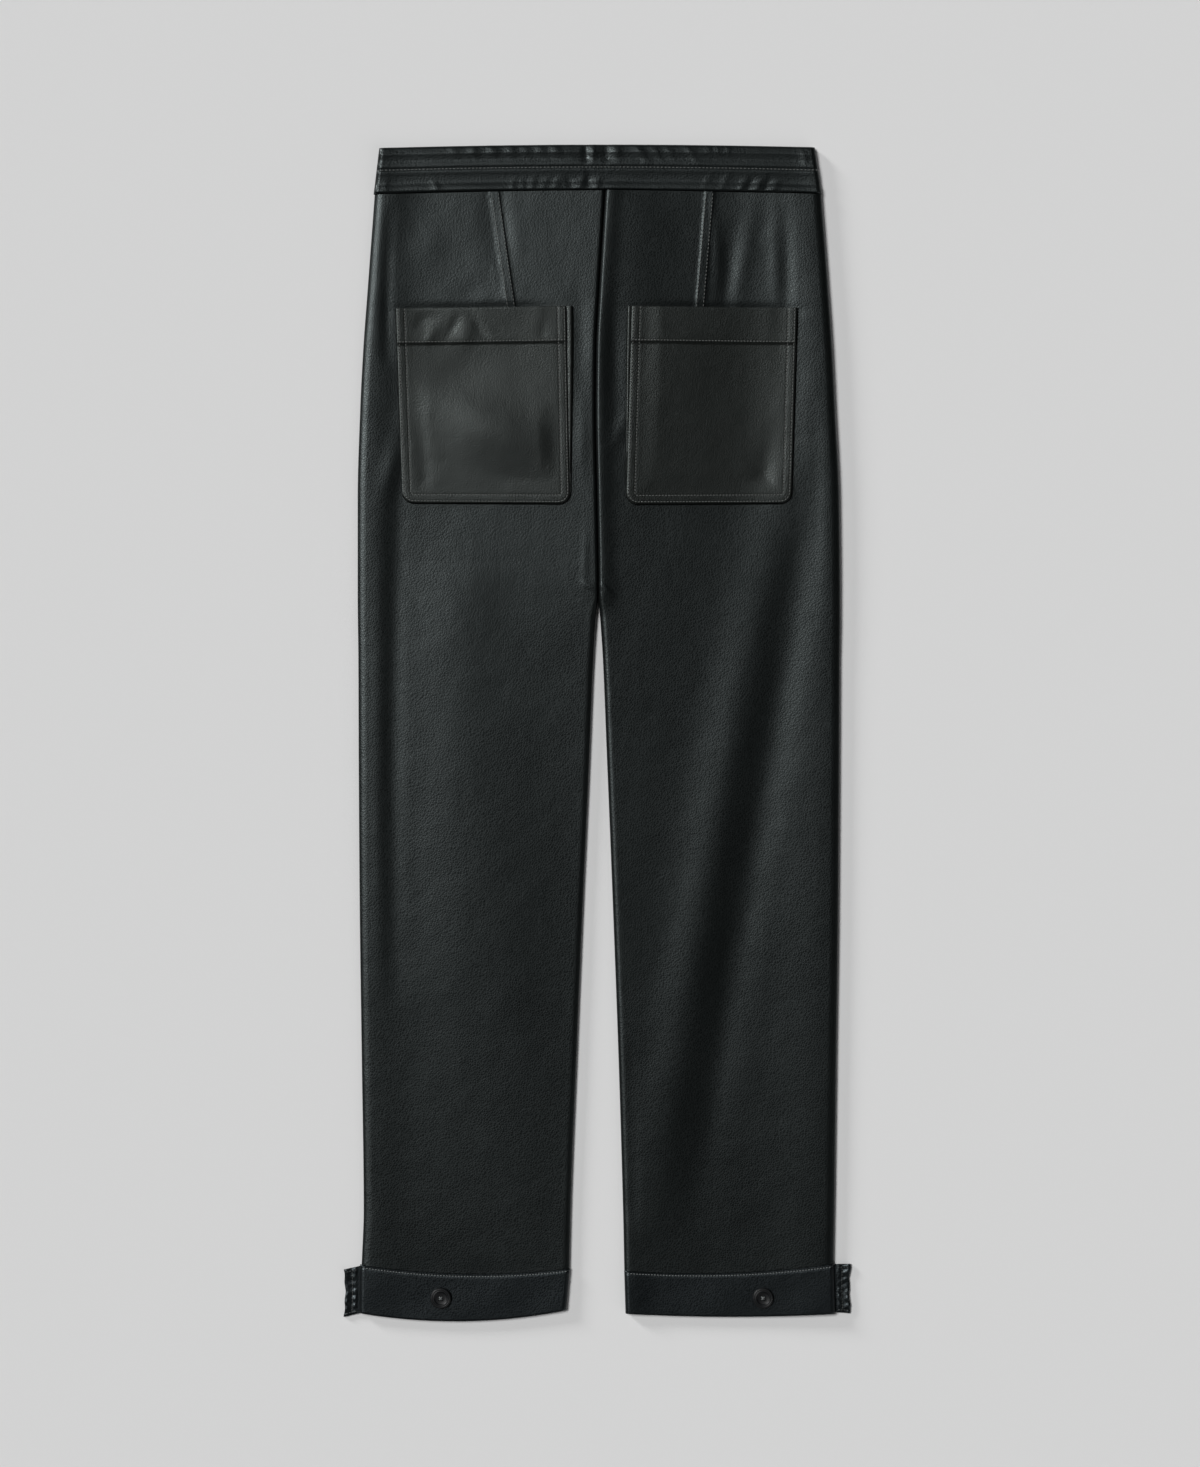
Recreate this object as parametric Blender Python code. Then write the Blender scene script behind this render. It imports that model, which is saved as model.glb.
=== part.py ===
"""Faux leather trousers with patch pockets, laid flat on their front with the back up.

The waist points to +Y, the wearer's left leg is at -X, and the floor is z = 0. The front panels
lie flat on the floor. The back panels lie on them, stand up in a soft roll along each fold and
wrap under it to the seam. Lengths below are in millimetres and become metres in the mesh.
"""

import math
from collections import namedtuple

import bpy
import numpy as np

MM = 0.001
LEFT, RIGHT = "left", "right"
SIDES = (LEFT, RIGHT)

# Cloth
CLOTH = 1.2
CUFF_CLOTH = 2.2
BAND_CLOTH = 2.6
SEAM = 0.3
HALF_SEAM = SEAM / 2
WRAP_CLEARANCE = 0.5
LOWEST_FACE = 2 * CLOTH + SEAM + 0.1

# Outline of the laid garment, seen from above: the edges' x at the height y.
Station = namedtuple("Station", "y outer_left centre leg_gap_half outer_right")
OUTLINE_ROWS = (
    (474, -195.8, 7.0, 0.0, 197.1),
    (390, -202.0, 1.6, 0.0, 203.3),
    (337, -205.9, -1.1, 0.0, 206.8),
    (284, -208.6, -1.6, 0.0, 209.4),
    (205, -210.8, -0.2, 0.0, 213.0),
    (122, -210.8, 1.1, 0.0, 213.8),
    (98, -210.6, 0.7, 1.9, 213.8),
    (64, -210.2, 0.8, 4.0, 213.4),
    (-24, -209.9, 0.8, 7.6, 213.0),
    (-156, -209.0, 0.5, 13.2, 212.1),
    (-288, -207.2, 0.2, 18.4, 210.3),
    (-420, -205.5, -0.4, 22.9, 208.6),
    (-470, -207.3, -0.4, 24.0, 207.7),
)
OUTLINE = [Station(*row) for row in OUTLINE_ROWS]
CROTCH_Y = 122.0
LEG_ROLL_START = 3.0
LEG_ROLL_LENGTH = 24.0

# Lines that the columns of the back panels follow, as shares of the half's width from its outer edge,
# and how far the columns round the dart have spread out below it.
Lines = namedtuple("Lines", "y pocket_outer pocket_inner spread")
LINE_ROWS = (
    (474, 0.13, 0.86, 0.0),
    (374, 0.14, 0.86, 0.0),
    (300, 0.17, 0.87, 0.4),
    (205, 0.20, 0.88, 1.0),
    (-470, 0.22, 0.80, 1.0),
)
LINES = [Lines(*row) for row in LINE_ROWS]
COLUMN_SPLITS = (2, 2, 1, 1, 1, 2, 2)
FOOT_SPREAD = 16.0
HALF_SPREAD = 2.0

# Heights of the back's outer face over the floor.
Heights = namedtuple("Heights", "y outer_left outer_right plateau inner_left inner_right inner_sag")
HEIGHT_ROWS = (
    (474, 6.8, 8.6, 5.0, 7.6, 7.6, 60.0),
    (330, 6.4, 8.8, 4.6, 8.6, 8.6, 70.0),
    (150, 6.4, 8.6, 4.6, 8.4, 8.4, 55.0),
    (40, 6.6, 8.4, 4.4, 6.0, 7.0, 30.0),
    (-200, 6.6, 7.8, 4.2, 5.2, 6.2, 20.0),
    (-470, 6.6, 7.2, 4.2, 5.2, 5.8, 16.0),
)
HEIGHTS = [Heights(*row) for row in HEIGHT_ROWS]
OUTER_ROLL_REACH = 8.0
SEAM_ROLL_REACH = 3.0
LEG_ROLL_REACH = 5.0
SEAM_VALLEY = 3.5
ROLL_SAG = 24.0
CUFF_INNER_SAG = 16.0
ROLL_ANGLES = (-90, -60, -30, 0, 30, 60)
ROLL_STEPS = 6

# Long soft folds: three points that the crest or trough runs through, its width and its height.
Fold = namedtuple("Fold", "top_x top_y mid_x mid_y low_x low_y width height")
FOLD_ROWS = (
    (206, 300, 147, -24, 80, -380, 20, -1.9),
    (172, 260, 117, -24, 52, -380, 24, 2.0),
    (-174, 250, -182, 20, -180, -200, 8, -1.5),
    (-128, 170, -122, -20, -116, -260, 34, 1.2),
    (-186, 466, -188, 400, -184, 320, 7, -1.2),
    (134, 470, 130, 425, 124, 370, 8, 1.3),
    (118, 462, 115, 415, 111, 366, 8, -1.5),
)
FOLDS = [Fold(*row) for row in FOLD_ROWS]
FOLD_MARGIN = 14.0

# Back darts, felled and stitched down twice, from the waist to under the pocket's mouth.
DARTS = {LEFT: (-90.2, 473.4, -76.1, 376.6), RIGHT: (98.6, 473.4, 90.2, 374.9)}
DART_HALF = 3.2
DART_FOOT = 4.6
DART_RISE = 0.5
DART_END_Y = 352.0
DART_FADE = 12.0

# Curves across the garment: y at the outer end, y at the inner end, and the bow between them.
WAIST_SEAM = {"y": 473.4, "bow": 3.4}
BAND_TOP = {"left_y": 513.0, "right_y": 514.8, "bow": 3.2}
CUFF_SEAM = {LEFT: (-467.3, -470.8, -6.4), RIGHT: (-466.4, -472.6, -5.2)}
HEM = {LEFT: (-510.0, -507.4, -8.4), RIGHT: (-510.4, -510.4, -2.8)}
CURVE_FADE = 70.0

# Rows of the long panels: (from y, to y, number of stretches).
PANEL_ZONES = ((474, 150, 13), (150, 62, 6), (62, -470, 15))

# Waistband
BAND_OUTLINE = {"left_low": -196.7, "left_top": -191.8, "right_low": 197.6, "right_top": 191.4}
BAND_ROLL_REACH = 6.0
BAND_ROLL_HEIGHT = 8.6
BAND_FACE = 6.6
BAND_COLUMNS = 64
BAND_SAG = 20.0
ProfilePoint = namedtuple("ProfilePoint", "share rise")
BAND_PROFILE_ROWS = (
    (0.0, -0.6),
    (0.06, 1.0),
    (0.13, 0.5),
    (0.22, -0.3),
    (0.40, 0.75),
    (0.437, 0.35),
    (0.51, 0.85),
    (0.58, 0.3),
    (0.62, 0.6),
    (0.73, -0.2),
    (0.87, 0.9),
    (0.95, 0.6),
    (1.0, -0.6),
)
BAND_PROFILE = [ProfilePoint(*row) for row in BAND_PROFILE_ROWS]
Pucker = namedtuple("Pucker", "x share width height")
PUCKER_ROWS = (
    (-150, 0.80, 9, 0.4),
    (-118, 0.80, 6, 0.6),
    (-98, 0.80, 6, 0.6),
    (-76, 0.80, 6, -0.5),
    (-52, 0.80, 7, 0.6),
    (-30, 0.80, 6, 0.5),
    (-8, 0.78, 5, -0.8),
    (6, 0.80, 6, 0.9),
    (30, 0.80, 9, 0.4),
    (70, 0.80, 7, 0.4),
    (112, 0.80, 8, 0.3),
    (-140, 0.20, 8, 0.4),
    (-95, 0.20, 7, 0.4),
    (-60, 0.20, 6, 0.5),
    (-36, 0.20, 6, -0.5),
    (-16, 0.18, 6, 0.7),
    (2, 0.18, 5, 0.8),
    (28, 0.20, 7, 0.4),
    (96, 0.20, 6, 0.3),
    (126, 0.20, 5, 0.8),
    (144, 0.20, 5, 0.8),
    (164, 0.20, 8, 0.6),
)
PUCKERS = [Pucker(*row) for row in PUCKER_ROWS]
PUCKER_LENGTH = 0.14

# Patch pockets: corners of the patch in plan, and the pocket's own folds.
POCKETS = {
    LEFT: {"top": (-176.5, 373.0, -27.5, 374.6), "bottom": (-171.0, 202.4, -24.2, 201.6)},
    RIGHT: {"top": (30.6, 374.6, 175.0, 373.2), "bottom": (25.8, 201.2, 170.4, 202.0)},
}
POCKET_CORNER = 10.0
POCKET_BAND = 31.5
POCKET_BAND_RISE = 0.8
POCKET_BAND_EDGE = 2.4
POCKET_COLUMN_SHARES = (0.0, 0.03, 0.075, 0.14, 0.28, 0.42, 0.56, 0.70, 0.86, 0.925, 0.97, 1.0)
POCKET_ROWS = (0.0, 3.0, 15.0, 30.3, 32.7, 55.0, 80.0, 105.0, 130.0, 148.0, 160.0, 164.0, 168.0, 171.2)
POCKET_DEPTH = POCKET_ROWS[-1]
Wave = namedtuple("Wave", "x y angle length width height")
POCKET_WAVES = {
    LEFT: (
        Wave(-157, 361, 20, 14, 9, -1.0),
        Wave(-146, 349, 60, 11, 8, 1.0),
        Wave(-116, 350, 90, 11, 9, 1.0),
        Wave(-80, 258, -20, 70, 16, 1.2),
        Wave(-75, 284, -18, 80, 32, 1.8),
    ),
    RIGHT: (Wave(146, 220, 68, 34, 14, -1.3), Wave(100, 300, 80, 60, 48, 0.4)),
}

# The pocket's folded gusset, which lies flat under the patch's sides and bottom.
GUSSET_THICK = 2.0
GUSSET_REACH = 8.0
GUSSET_OUT = {LEFT: (1.2, 0.8, 6.0), RIGHT: (4.4, 0.8, 1.4)}
GUSSET_SIDE_SHARE = 0.42
PATCH_LIFT = 2 * SEAM + GUSSET_THICK
PATCH_REST = 1.8
PATCH_FALL = (9.0, 44.0)

# Cuffs, tabs and buttons
CUFF_EDGES = {
    LEFT: {"outer": (-208.6, -209.2), "inner": (-24.0, -27.2)},
    RIGHT: {"outer": (208.1, 209.4), "inner": (23.6, 24.8)},
}
CUFF_STEP = 0.8
CUFF_ROLL_REACH = 4.0
CUFF_FREE_ANGLES = (-8, 14, 36, 62)
CUFF_ROWS = (0.0, 0.1, 0.5, 0.9, 1.0)
CUFF_COLUMNS = 12
FRONT_HEM_BACK = 1.6
TAB_ROOT = 3.4
TABS = {
    LEFT: {"tip_x": -223.0, "root_y": (-468.2, -509.6), "tip_y": (-472.2, -513.8)},
    RIGHT: {"tip_x": 222.9, "root_y": (-467.4, -509.4), "tip_y": (-467.2, -510.6)},
}
TAB_CREASE = 1.1
TAB_COLUMNS = (0.0, 0.22, 0.45, 0.62, 0.8, 1.0)
TAB_ROWS = 7
TAB_BULGE = 1.2
BUTTON_PLACES = {LEFT: (-137.5, -496.5), RIGHT: (145.6, -496.4)}
BUTTON_RADIUS = 9.2
BUTTON_STEPS = 24
BUTTON_PROFILE = (
    (0.0, 2.1),
    (5.2, 2.1),
    (6.4, 3.1),
    (8.2, 3.3),
    (BUTTON_RADIUS, 2.2),
    (BUTTON_RADIUS, 0.9),
    (7.6, 0.0),
    (0.0, 0.0),
)
BUTTON_HOLE_RADIUS = 0.9
BUTTON_HOLE_PITCH = 1.9

LEATHER_BLACK = (0.012, 0.014, 0.014, 1)
BUTTON_BLACK = (0.010, 0.011, 0.012, 1)


def smooth(y, knots, values):
    """A cubic through the knots, whose slopes are limited so that it never overshoots."""
    order = np.argsort(knots)
    k, v = np.asarray(knots, float)[order], np.asarray(values, float)[order]
    steps = np.diff(v) / np.diff(k)
    slopes = np.zeros(len(v))
    same_way = steps[1:] * steps[:-1] > 0
    slopes[1:-1][same_way] = 2 / (1 / steps[1:][same_way] + 1 / steps[:-1][same_way])
    slopes[0], slopes[-1] = steps[0], steps[-1]
    i = np.clip(np.searchsorted(k, y) - 1, 0, len(steps) - 1)
    width = k[i + 1] - k[i]
    t = (np.clip(y, k[0], k[-1]) - k[i]) / width
    low = v[i] * (1 + 2 * t) * (1 - t) ** 2 + slopes[i] * width * t * (1 - t) ** 2
    high = v[i + 1] * t**2 * (3 - 2 * t) + slopes[i + 1] * width * t**2 * (t - 1)
    return low + high


def column(table, name, y):
    """A named column of a table, read at the height y."""
    return smooth(y, [row.y for row in table], [getattr(row, name) for row in table])


def step_up(t):
    """0 below t = 0, 1 above t = 1, and smooth between."""
    t = np.clip(t, 0, 1)
    return t * t * (3 - 2 * t)


def inward(side):
    """The way along X from the half's outer edge to its inner edge."""
    return 1 if side == LEFT else -1


def outer_edge(side, y):
    return column(OUTLINE, f"outer_{side}", y)


def inner_edge(side, y):
    """The inseam below the crotch, and the centre seam above it."""
    centre = column(OUTLINE, "centre", y)
    return centre - inward(side) * (column(OUTLINE, "leg_gap_half", y) + HALF_SEAM)


def leg_share(y):
    """0 on the seat, 1 on the legs."""
    return step_up((CROTCH_Y + LEG_ROLL_START - y) / LEG_ROLL_LENGTH)


def bowed(x, outer_x, inner_x, outer_y, inner_y, bow):
    """A line between two ends with a bow in the middle, as a function of x."""
    t = np.clip((x - outer_x) / (inner_x - outer_x), 0, 1)
    return outer_y + (inner_y - outer_y) * t + bow * 4 * t * (1 - t)


def waist_seam_y(x):
    low, high = BAND_OUTLINE["left_low"], BAND_OUTLINE["right_low"]
    return bowed(x, low, high, WAIST_SEAM["y"], WAIST_SEAM["y"], WAIST_SEAM["bow"])


def cuff_seam_y(side, x):
    edges = CUFF_EDGES[side]
    return bowed(x, edges["outer"][0], edges["inner"][0], *CUFF_SEAM[side])


def hem_y(side, x):
    edges = CUFF_EDGES[side]
    return bowed(x, edges["outer"][1], edges["inner"][1], *HEM[side])


def fold_line(fold, y):
    """x of a fold's crest: the parabola through its three points."""
    top = (y - fold.mid_y) * (y - fold.low_y) / ((fold.top_y - fold.mid_y) * (fold.top_y - fold.low_y))
    mid = (y - fold.top_y) * (y - fold.low_y) / ((fold.mid_y - fold.top_y) * (fold.mid_y - fold.low_y))
    return fold.top_x * top + fold.mid_x * mid + fold.low_x * (1 - top - mid)


def fold_relief(x, y):
    """The long folds: each is a bell across its line, and fades towards its ends."""
    total = np.zeros(np.broadcast(x, y).shape)
    for fold in FOLDS:
        inside = np.clip((fold.top_y - y) / (fold.top_y - fold.low_y), 0, 1)
        across = np.exp(-(((x - fold_line(fold, y)) / fold.width) ** 2))
        total += fold.height * np.sin(math.pi * inside) ** 0.7 * across
    return total


def dart_line(side, y):
    """x of the dart's middle, which stays where the dart ends below it."""
    top_x, top_y, low_x, low_y = DARTS[side]
    return top_x + (low_x - top_x) * (top_y - np.maximum(y, DART_END_Y)) / (top_y - low_y)


def dart_relief(side, x, y):
    away = np.abs(x - dart_line(side, y))
    across = 1 - step_up((away - DART_HALF) / (DART_FOOT - DART_HALF))
    return DART_RISE * across * step_up((y - DART_END_Y) / DART_FADE)


def top_height(side, x, y):
    """Height of the outer face over the floor, between the rolls at its edges."""
    from_outer = inward(side) * (x - outer_edge(side, y)) - OUTER_ROLL_REACH
    from_inner = inward(side) * (inner_edge(side, y) - x) - inner_roll_reach(y)
    plateau = column(HEIGHTS, "plateau", y)
    outer_roll = column(HEIGHTS, f"outer_{side}", y) - plateau
    inner_roll = column(HEIGHTS, f"inner_{side}", y) - plateau
    z = plateau + outer_roll * np.exp(-((np.maximum(from_outer, 0) / ROLL_SAG) ** 2))
    z = z + inner_roll * np.exp(-((np.maximum(from_inner, 0) / column(HEIGHTS, "inner_sag", y)) ** 2))
    between = step_up(from_outer / FOLD_MARGIN) * step_up(from_inner / FOLD_MARGIN)
    z = z + between * fold_relief(x, y) + dart_relief(side, x, y)
    return np.maximum(z, LOWEST_FACE)


def inner_roll_reach(y):
    return SEAM_ROLL_REACH + (LEG_ROLL_REACH - SEAM_ROLL_REACH) * leg_share(y)


def panel_rows():
    """The heights y of the rows of a long panel, from the waist to the cuff."""
    rows = [PANEL_ZONES[0][0]]
    for start, end, count in PANEL_ZONES:
        rows += [start + (end - start) * (i + 1) / count for i in range(count)]
    return np.array(rows, float)


def top_columns(side, y):
    """x of the columns between the two rolls, at the rows y: they follow the pocket's sides and the dart."""
    outer, inner = outer_edge(side, y), inner_edge(side, y)
    width = np.abs(inner - outer)
    pocket_outer = width * column(LINES, "pocket_outer", y)
    pocket_inner = width * column(LINES, "pocket_inner", y)
    spread = column(LINES, "spread", y)
    dart = np.abs(dart_line(side, y) - outer) * (1 - spread) + width / 2 * spread
    foot, half = DART_FOOT + FOOT_SPREAD * spread, DART_HALF + HALF_SPREAD * spread
    start, end = np.full(len(y), OUTER_ROLL_REACH), width - inner_roll_reach(y)
    stops = (start, pocket_outer, dart - foot, dart - half, dart + half, dart + foot, pocket_inner, end)
    found = [start]
    for low, high, count in zip(stops[:-1], stops[1:], COLUMN_SPLITS):
        found += [low + (high - low) * (i + 1) / count for i in range(count)]
    return outer[:, None] + inward(side) * np.stack(found, axis=1)


def unit(vectors):
    return vectors / np.linalg.norm(vectors, axis=-1, keepdims=True)


def grid_normals(points):
    """Outward normals of a grid of points, from the differences between its neighbours."""
    down, across = np.gradient(points, axis=0), np.gradient(points, axis=1)
    normals = unit(np.cross(down, across))
    middle = normals[len(normals) // 2, normals.shape[1] // 2]
    return normals if middle[2] > 0 else -normals


def roll(edge_x, way_in, reach, top_z, drop, angles):
    """Points and normals of an upright half ellipse along an edge, one for each angle above its middle.

    edge_x, reach, top_z and drop have a value for each row, and angles a row of degrees for each row.
    """
    a = np.radians(angles)
    middle_x, middle_z = edge_x + way_in * reach, top_z - drop
    x = middle_x[:, None] - way_in * reach[:, None] * np.cos(a)
    z = middle_z[:, None] + drop[:, None] * np.sin(a)
    normal_x = -way_in * np.cos(a) / reach[:, None]
    normal_z = np.sin(a) / drop[:, None]
    return x, z, unit(np.stack([normal_x, np.zeros_like(x), normal_z], axis=-1))


def back_panel_grid(side):
    """Outer points and normals of a back panel: rows from the waist to the cuff, columns from the outer seam in."""
    y = panel_rows()
    top_x = top_columns(side, y)
    top_z = top_height(side, top_x, y[:, None])
    way = inward(side)
    rows = len(y)
    outer_angles = np.tile(np.array(ROLL_ANGLES, float), (rows, 1))
    reach_out = np.full(rows, OUTER_ROLL_REACH)
    roll_out = roll(outer_edge(side, y), way, reach_out, top_z[:, 0], top_z[:, 0] / 2, outer_angles)
    share = leg_share(y)
    drop_in = SEAM_VALLEY + (top_z[:, -1] / 2 - SEAM_VALLEY) * share
    steps = (np.arange(ROLL_STEPS) + 1) / ROLL_STEPS
    inner_angles = 90 - (90 + 90 * share[:, None]) * steps
    roll_in = roll(inner_edge(side, y), -way, inner_roll_reach(y), top_z[:, -1], drop_in, inner_angles)
    x = np.concatenate([roll_out[0], top_x, roll_in[0]], axis=1)
    z = np.concatenate([roll_out[1], top_z, roll_in[1]], axis=1)
    warped_y = np.repeat(y[:, None], x.shape[1], axis=1)
    near_waist = step_up(1 - (y[0] - warped_y) / CURVE_FADE)
    near_cuff = step_up(1 - (warped_y - y[-1]) / CURVE_FADE)
    warped_y += near_waist * (waist_seam_y(x) - HALF_SEAM - y[0])
    warped_y += near_cuff * (cuff_seam_y(side, x) + HALF_SEAM - y[-1])
    points = np.stack([x, warped_y, z], axis=-1)
    normals = grid_normals(points)
    normals[:, : len(ROLL_ANGLES)] = roll_out[2]
    normals[:, -ROLL_STEPS:] = roll_in[2]
    normals[[0, -1], :, 1] = 0
    return points, unit(normals)


def material(name, colour, roughness):
    made = bpy.data.materials.new(name)
    made.use_nodes = True
    shader = made.node_tree.nodes["Principled BSDF"]
    shader.inputs["Base Color"].default_value = colour
    shader.inputs["Roughness"].default_value = roughness
    shader.inputs["Metallic"].default_value = 0
    return made


def add_object(name, points, faces, finish):
    """A mesh object from points in millimetres."""
    mesh = bpy.data.meshes.new(name)
    mesh.from_pydata((np.asarray(points) * MM).tolist(), [], faces)
    mesh.validate()
    mesh.shade_smooth()
    mesh.set_sharp_from_angle(angle=math.radians(40))
    made = bpy.data.objects.new(name, mesh)
    made.data.materials.append(finish)
    bpy.context.scene.collection.objects.link(made)
    return made


def slab(name, outer, inner, finish):
    """A closed wall between two grids of the same size, its outer face first."""
    rows, columns = outer.shape[:2]
    count = rows * columns
    index = np.arange(count).reshape(rows, columns)
    corners = (index[:-1, :-1], index[:-1, 1:], index[1:, 1:], index[1:, :-1])
    face = np.stack(corners, axis=-1).reshape(-1, 4)
    rim = np.concatenate([index[0, :-1], index[:-1, -1], index[-1, :0:-1], index[:0:-1, 0]])
    following = np.roll(rim, -1)
    wall = np.stack([rim, rim + count, following + count, following], axis=-1)
    faces = np.concatenate([face, face[:, ::-1] + count, wall])
    points = np.concatenate([outer.reshape(-1, 3), inner.reshape(-1, 3)])
    sample = points[face[len(face) // 2]]
    facing = np.cross(sample[1] - sample[0], sample[3] - sample[0])
    away = sample[0] - points[face[len(face) // 2][0] + count]
    if facing @ away < 0:
        faces = faces[:, ::-1]
    return add_object(name, points, faces.tolist(), finish)


def flat_slab(name, plan, thickness, finish):
    """A plate on the floor from a grid of points in plan."""
    top = np.concatenate([plan, np.full(plan.shape[:2] + (1,), float(thickness))], axis=-1)
    bottom = top.copy()
    bottom[..., 2] = 0
    return slab(name, top, bottom, finish)


class PanelSurface:
    """The faceted outer face of a back panel, for what lies on it."""

    def __init__(self, points):
        first = len(ROLL_ANGLES)
        self.points = points[:, first:-ROLL_STEPS]
        self.rows = self.points[:, 0, 1]

    def height(self, x, y):
        """z of the panel's own facets at plan points below the waist's curve."""
        x, y = np.broadcast_arrays(np.asarray(x, float), np.asarray(y, float))
        found = np.empty(x.shape)
        for place in np.ndindex(x.shape):
            row = int(np.clip(np.searchsorted(-self.rows, -y[place]) - 1, 0, len(self.rows) - 2))
            t = (self.rows[row] - y[place]) / (self.rows[row] - self.rows[row + 1])
            line = self.points[row] * (1 - t) + self.points[row + 1] * t
            if line[0, 0] > line[-1, 0]:
                line = line[::-1]
            found[place] = np.interp(x[place], line[:, 0], line[:, 2])
        return found


def rest_on(surface, plan, under, gap):
    """The heights of a grid, raised until each of its facets clears the surface below it by the gap."""
    under = under.copy()
    u, v = np.meshgrid(np.linspace(0, 1, 6), np.linspace(0, 1, 6))
    both = u + v - 1
    shares = np.stack([(1 - u) * (1 - v), (1 - u) * v, u * v, u * (1 - v)], axis=-1)
    one_way = [1 - np.maximum(u, v), np.maximum(v - u, 0), np.minimum(u, v), np.maximum(u - v, 0)]
    other_way = [np.maximum(-both, 0), np.minimum(v, 1 - u), np.maximum(both, 0), np.minimum(u, 1 - v)]
    one_way, other_way = np.stack(one_way, axis=-1), np.stack(other_way, axis=-1)
    for row, start in np.ndindex(under.shape[0] - 1, under.shape[1] - 1):
        corners = ([row, row + 1, row + 1, row], [start, start, start + 1, start + 1])
        at = shares @ plan[corners]
        lowest = np.minimum(one_way @ under[corners], other_way @ under[corners])
        short = (surface.height(at[..., 0], at[..., 1]) + gap - lowest).max()
        under[corners] += max(short, 0.0)
    return under


def pocket_corners(side):
    """The patch's corners in plan as arrays: top left, top right, bottom left, bottom right."""
    left_x, left_y, right_x, right_y = POCKETS[side]["top"]
    low_left_x, low_left_y, low_right_x, low_right_y = POCKETS[side]["bottom"]
    pairs = ((left_x, left_y), (right_x, right_y), (low_left_x, low_left_y), (low_right_x, low_right_y))
    return [np.array(pair) for pair in pairs]


def pocket_plan(side):
    """Plan points of the patch, rows from the mouth down, drawn in at its two round bottom corners."""
    top_left, top_right, low_left, low_right = pocket_corners(side)
    rows = []
    for down in POCKET_ROWS:
        share = down / POCKET_DEPTH
        left = top_left + (low_left - top_left) * share
        right = top_right + (low_right - top_right) * share
        into_corner = max(0.0, down - (POCKET_DEPTH - POCKET_CORNER))
        drawn_in = POCKET_CORNER - math.sqrt(POCKET_CORNER**2 - into_corner**2)
        width = np.linalg.norm(right - left)
        shares = (drawn_in + np.array(POCKET_COLUMN_SHARES) * (width - 2 * drawn_in)) / width
        rows.append(left + (right - left) * shares[:, None])
    return np.stack(rows)


def pocket_waves(side, x, y):
    """The pocket's own soft folds, each an oval bump or dip turned by an angle from +X."""
    total = np.zeros(x.shape)
    for wave in POCKET_WAVES[side]:
        turn = math.radians(wave.angle)
        along = ((x - wave.x) * math.cos(turn) + (y - wave.y) * math.sin(turn)) / wave.length
        across = ((y - wave.y) * math.cos(turn) - (x - wave.x) * math.sin(turn)) / wave.width
        total += wave.height * np.exp(-(across**2) - along**2)
    return total


def pocket_edge_distance(side, x, y):
    """How far a plan point lies inside the patch's sides and bottom."""
    top_left, top_right, low_left, low_right = pocket_corners(side)
    t = (top_left[1] - y) / (top_left[1] - low_left[1])
    from_left = x - (top_left[0] + (low_left[0] - top_left[0]) * t)
    from_right = top_right[0] + (low_right[0] - top_right[0]) * t - x
    return np.minimum(np.minimum(from_left, from_right), y - low_left[1])


def make_pocket(side, surface, finish):
    """The patch, whose mouth is turned over once and stitched down, resting on its gusset."""
    plan = pocket_plan(side)
    x, y = plan[..., 0], plan[..., 1]
    base = surface.height(x, y)
    inside = pocket_edge_distance(side, x, y)
    fall = step_up((inside - PATCH_FALL[0]) / (PATCH_FALL[1] - PATCH_FALL[0]))
    under = base + PATCH_LIFT + (PATCH_REST - PATCH_LIFT) * fall + pocket_waves(side, x, y) * fall
    under = rest_on(surface, plan, under, SEAM)
    down = np.array(POCKET_ROWS)[:, None]
    band = POCKET_BAND_RISE * (1 - step_up((down - POCKET_BAND) / POCKET_BAND_EDGE + 0.5))
    outer = np.stack([x, y, under + CLOTH + band], axis=-1)
    return slab(f"pocket_{side}", outer, np.stack([x, y, under], axis=-1), finish)


def pocket_path(side):
    """Plan points round the patch's left side, bottom and right side, and the way out at each."""
    top_left, top_right, low_left, low_right = pocket_corners(side)
    turn = np.radians(np.linspace(0, 90, 5))
    corner = np.array([POCKET_CORNER, POCKET_CORNER])
    down = np.linspace(0, 1 - POCKET_CORNER / POCKET_DEPTH, 7)[:, None]
    left_down = top_left + (low_left - top_left) * down
    right_up = (top_right + (low_right - top_right) * down)[::-1]
    round_left = low_left + corner * (1 - np.stack([np.cos(turn), np.sin(turn)], axis=-1))
    round_right = low_right + corner * (np.stack([np.sin(turn), -np.cos(turn)], axis=-1) + [-1, 1])
    along = round_left[-1] + (round_right[0] - round_left[-1]) * np.array([[0.25], [0.5], [0.75]])
    path = np.concatenate([left_down, round_left[1:], along, round_right[:-1], right_up])
    ahead = unit(np.gradient(path, axis=0))
    return path, np.stack([ahead[:, 1], -ahead[:, 0]], axis=-1)


def make_gusset(side, surface, finish):
    """The flat folded strip under the patch's edge, which shows beside it."""
    path, out = pocket_path(side)
    share = np.linspace(0, 1, len(path))
    left_out, low_out, right_out = GUSSET_OUT[side]
    left_end = 1 - step_up(share / GUSSET_SIDE_SHARE)
    right_end = 1 - step_up((1 - share) / GUSSET_SIDE_SHARE)
    shows = low_out + (left_out - low_out) * left_end + (right_out - low_out) * right_end
    inner_lines = np.tile([0, -GUSSET_REACH / 2, -GUSSET_REACH], (len(path), 1))
    across = np.concatenate([shows[:, None], inner_lines], axis=1)
    plan = path[:, None] + out[:, None] * across[..., None]
    base = rest_on(surface, plan, surface.height(plan[..., 0], plan[..., 1]) + SEAM, SEAM)
    under = np.concatenate([plan, base[..., None]], axis=-1)
    outer = under + np.array([0, 0, GUSSET_THICK])
    return slab(f"gusset_{side}", outer, under, finish)


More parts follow.
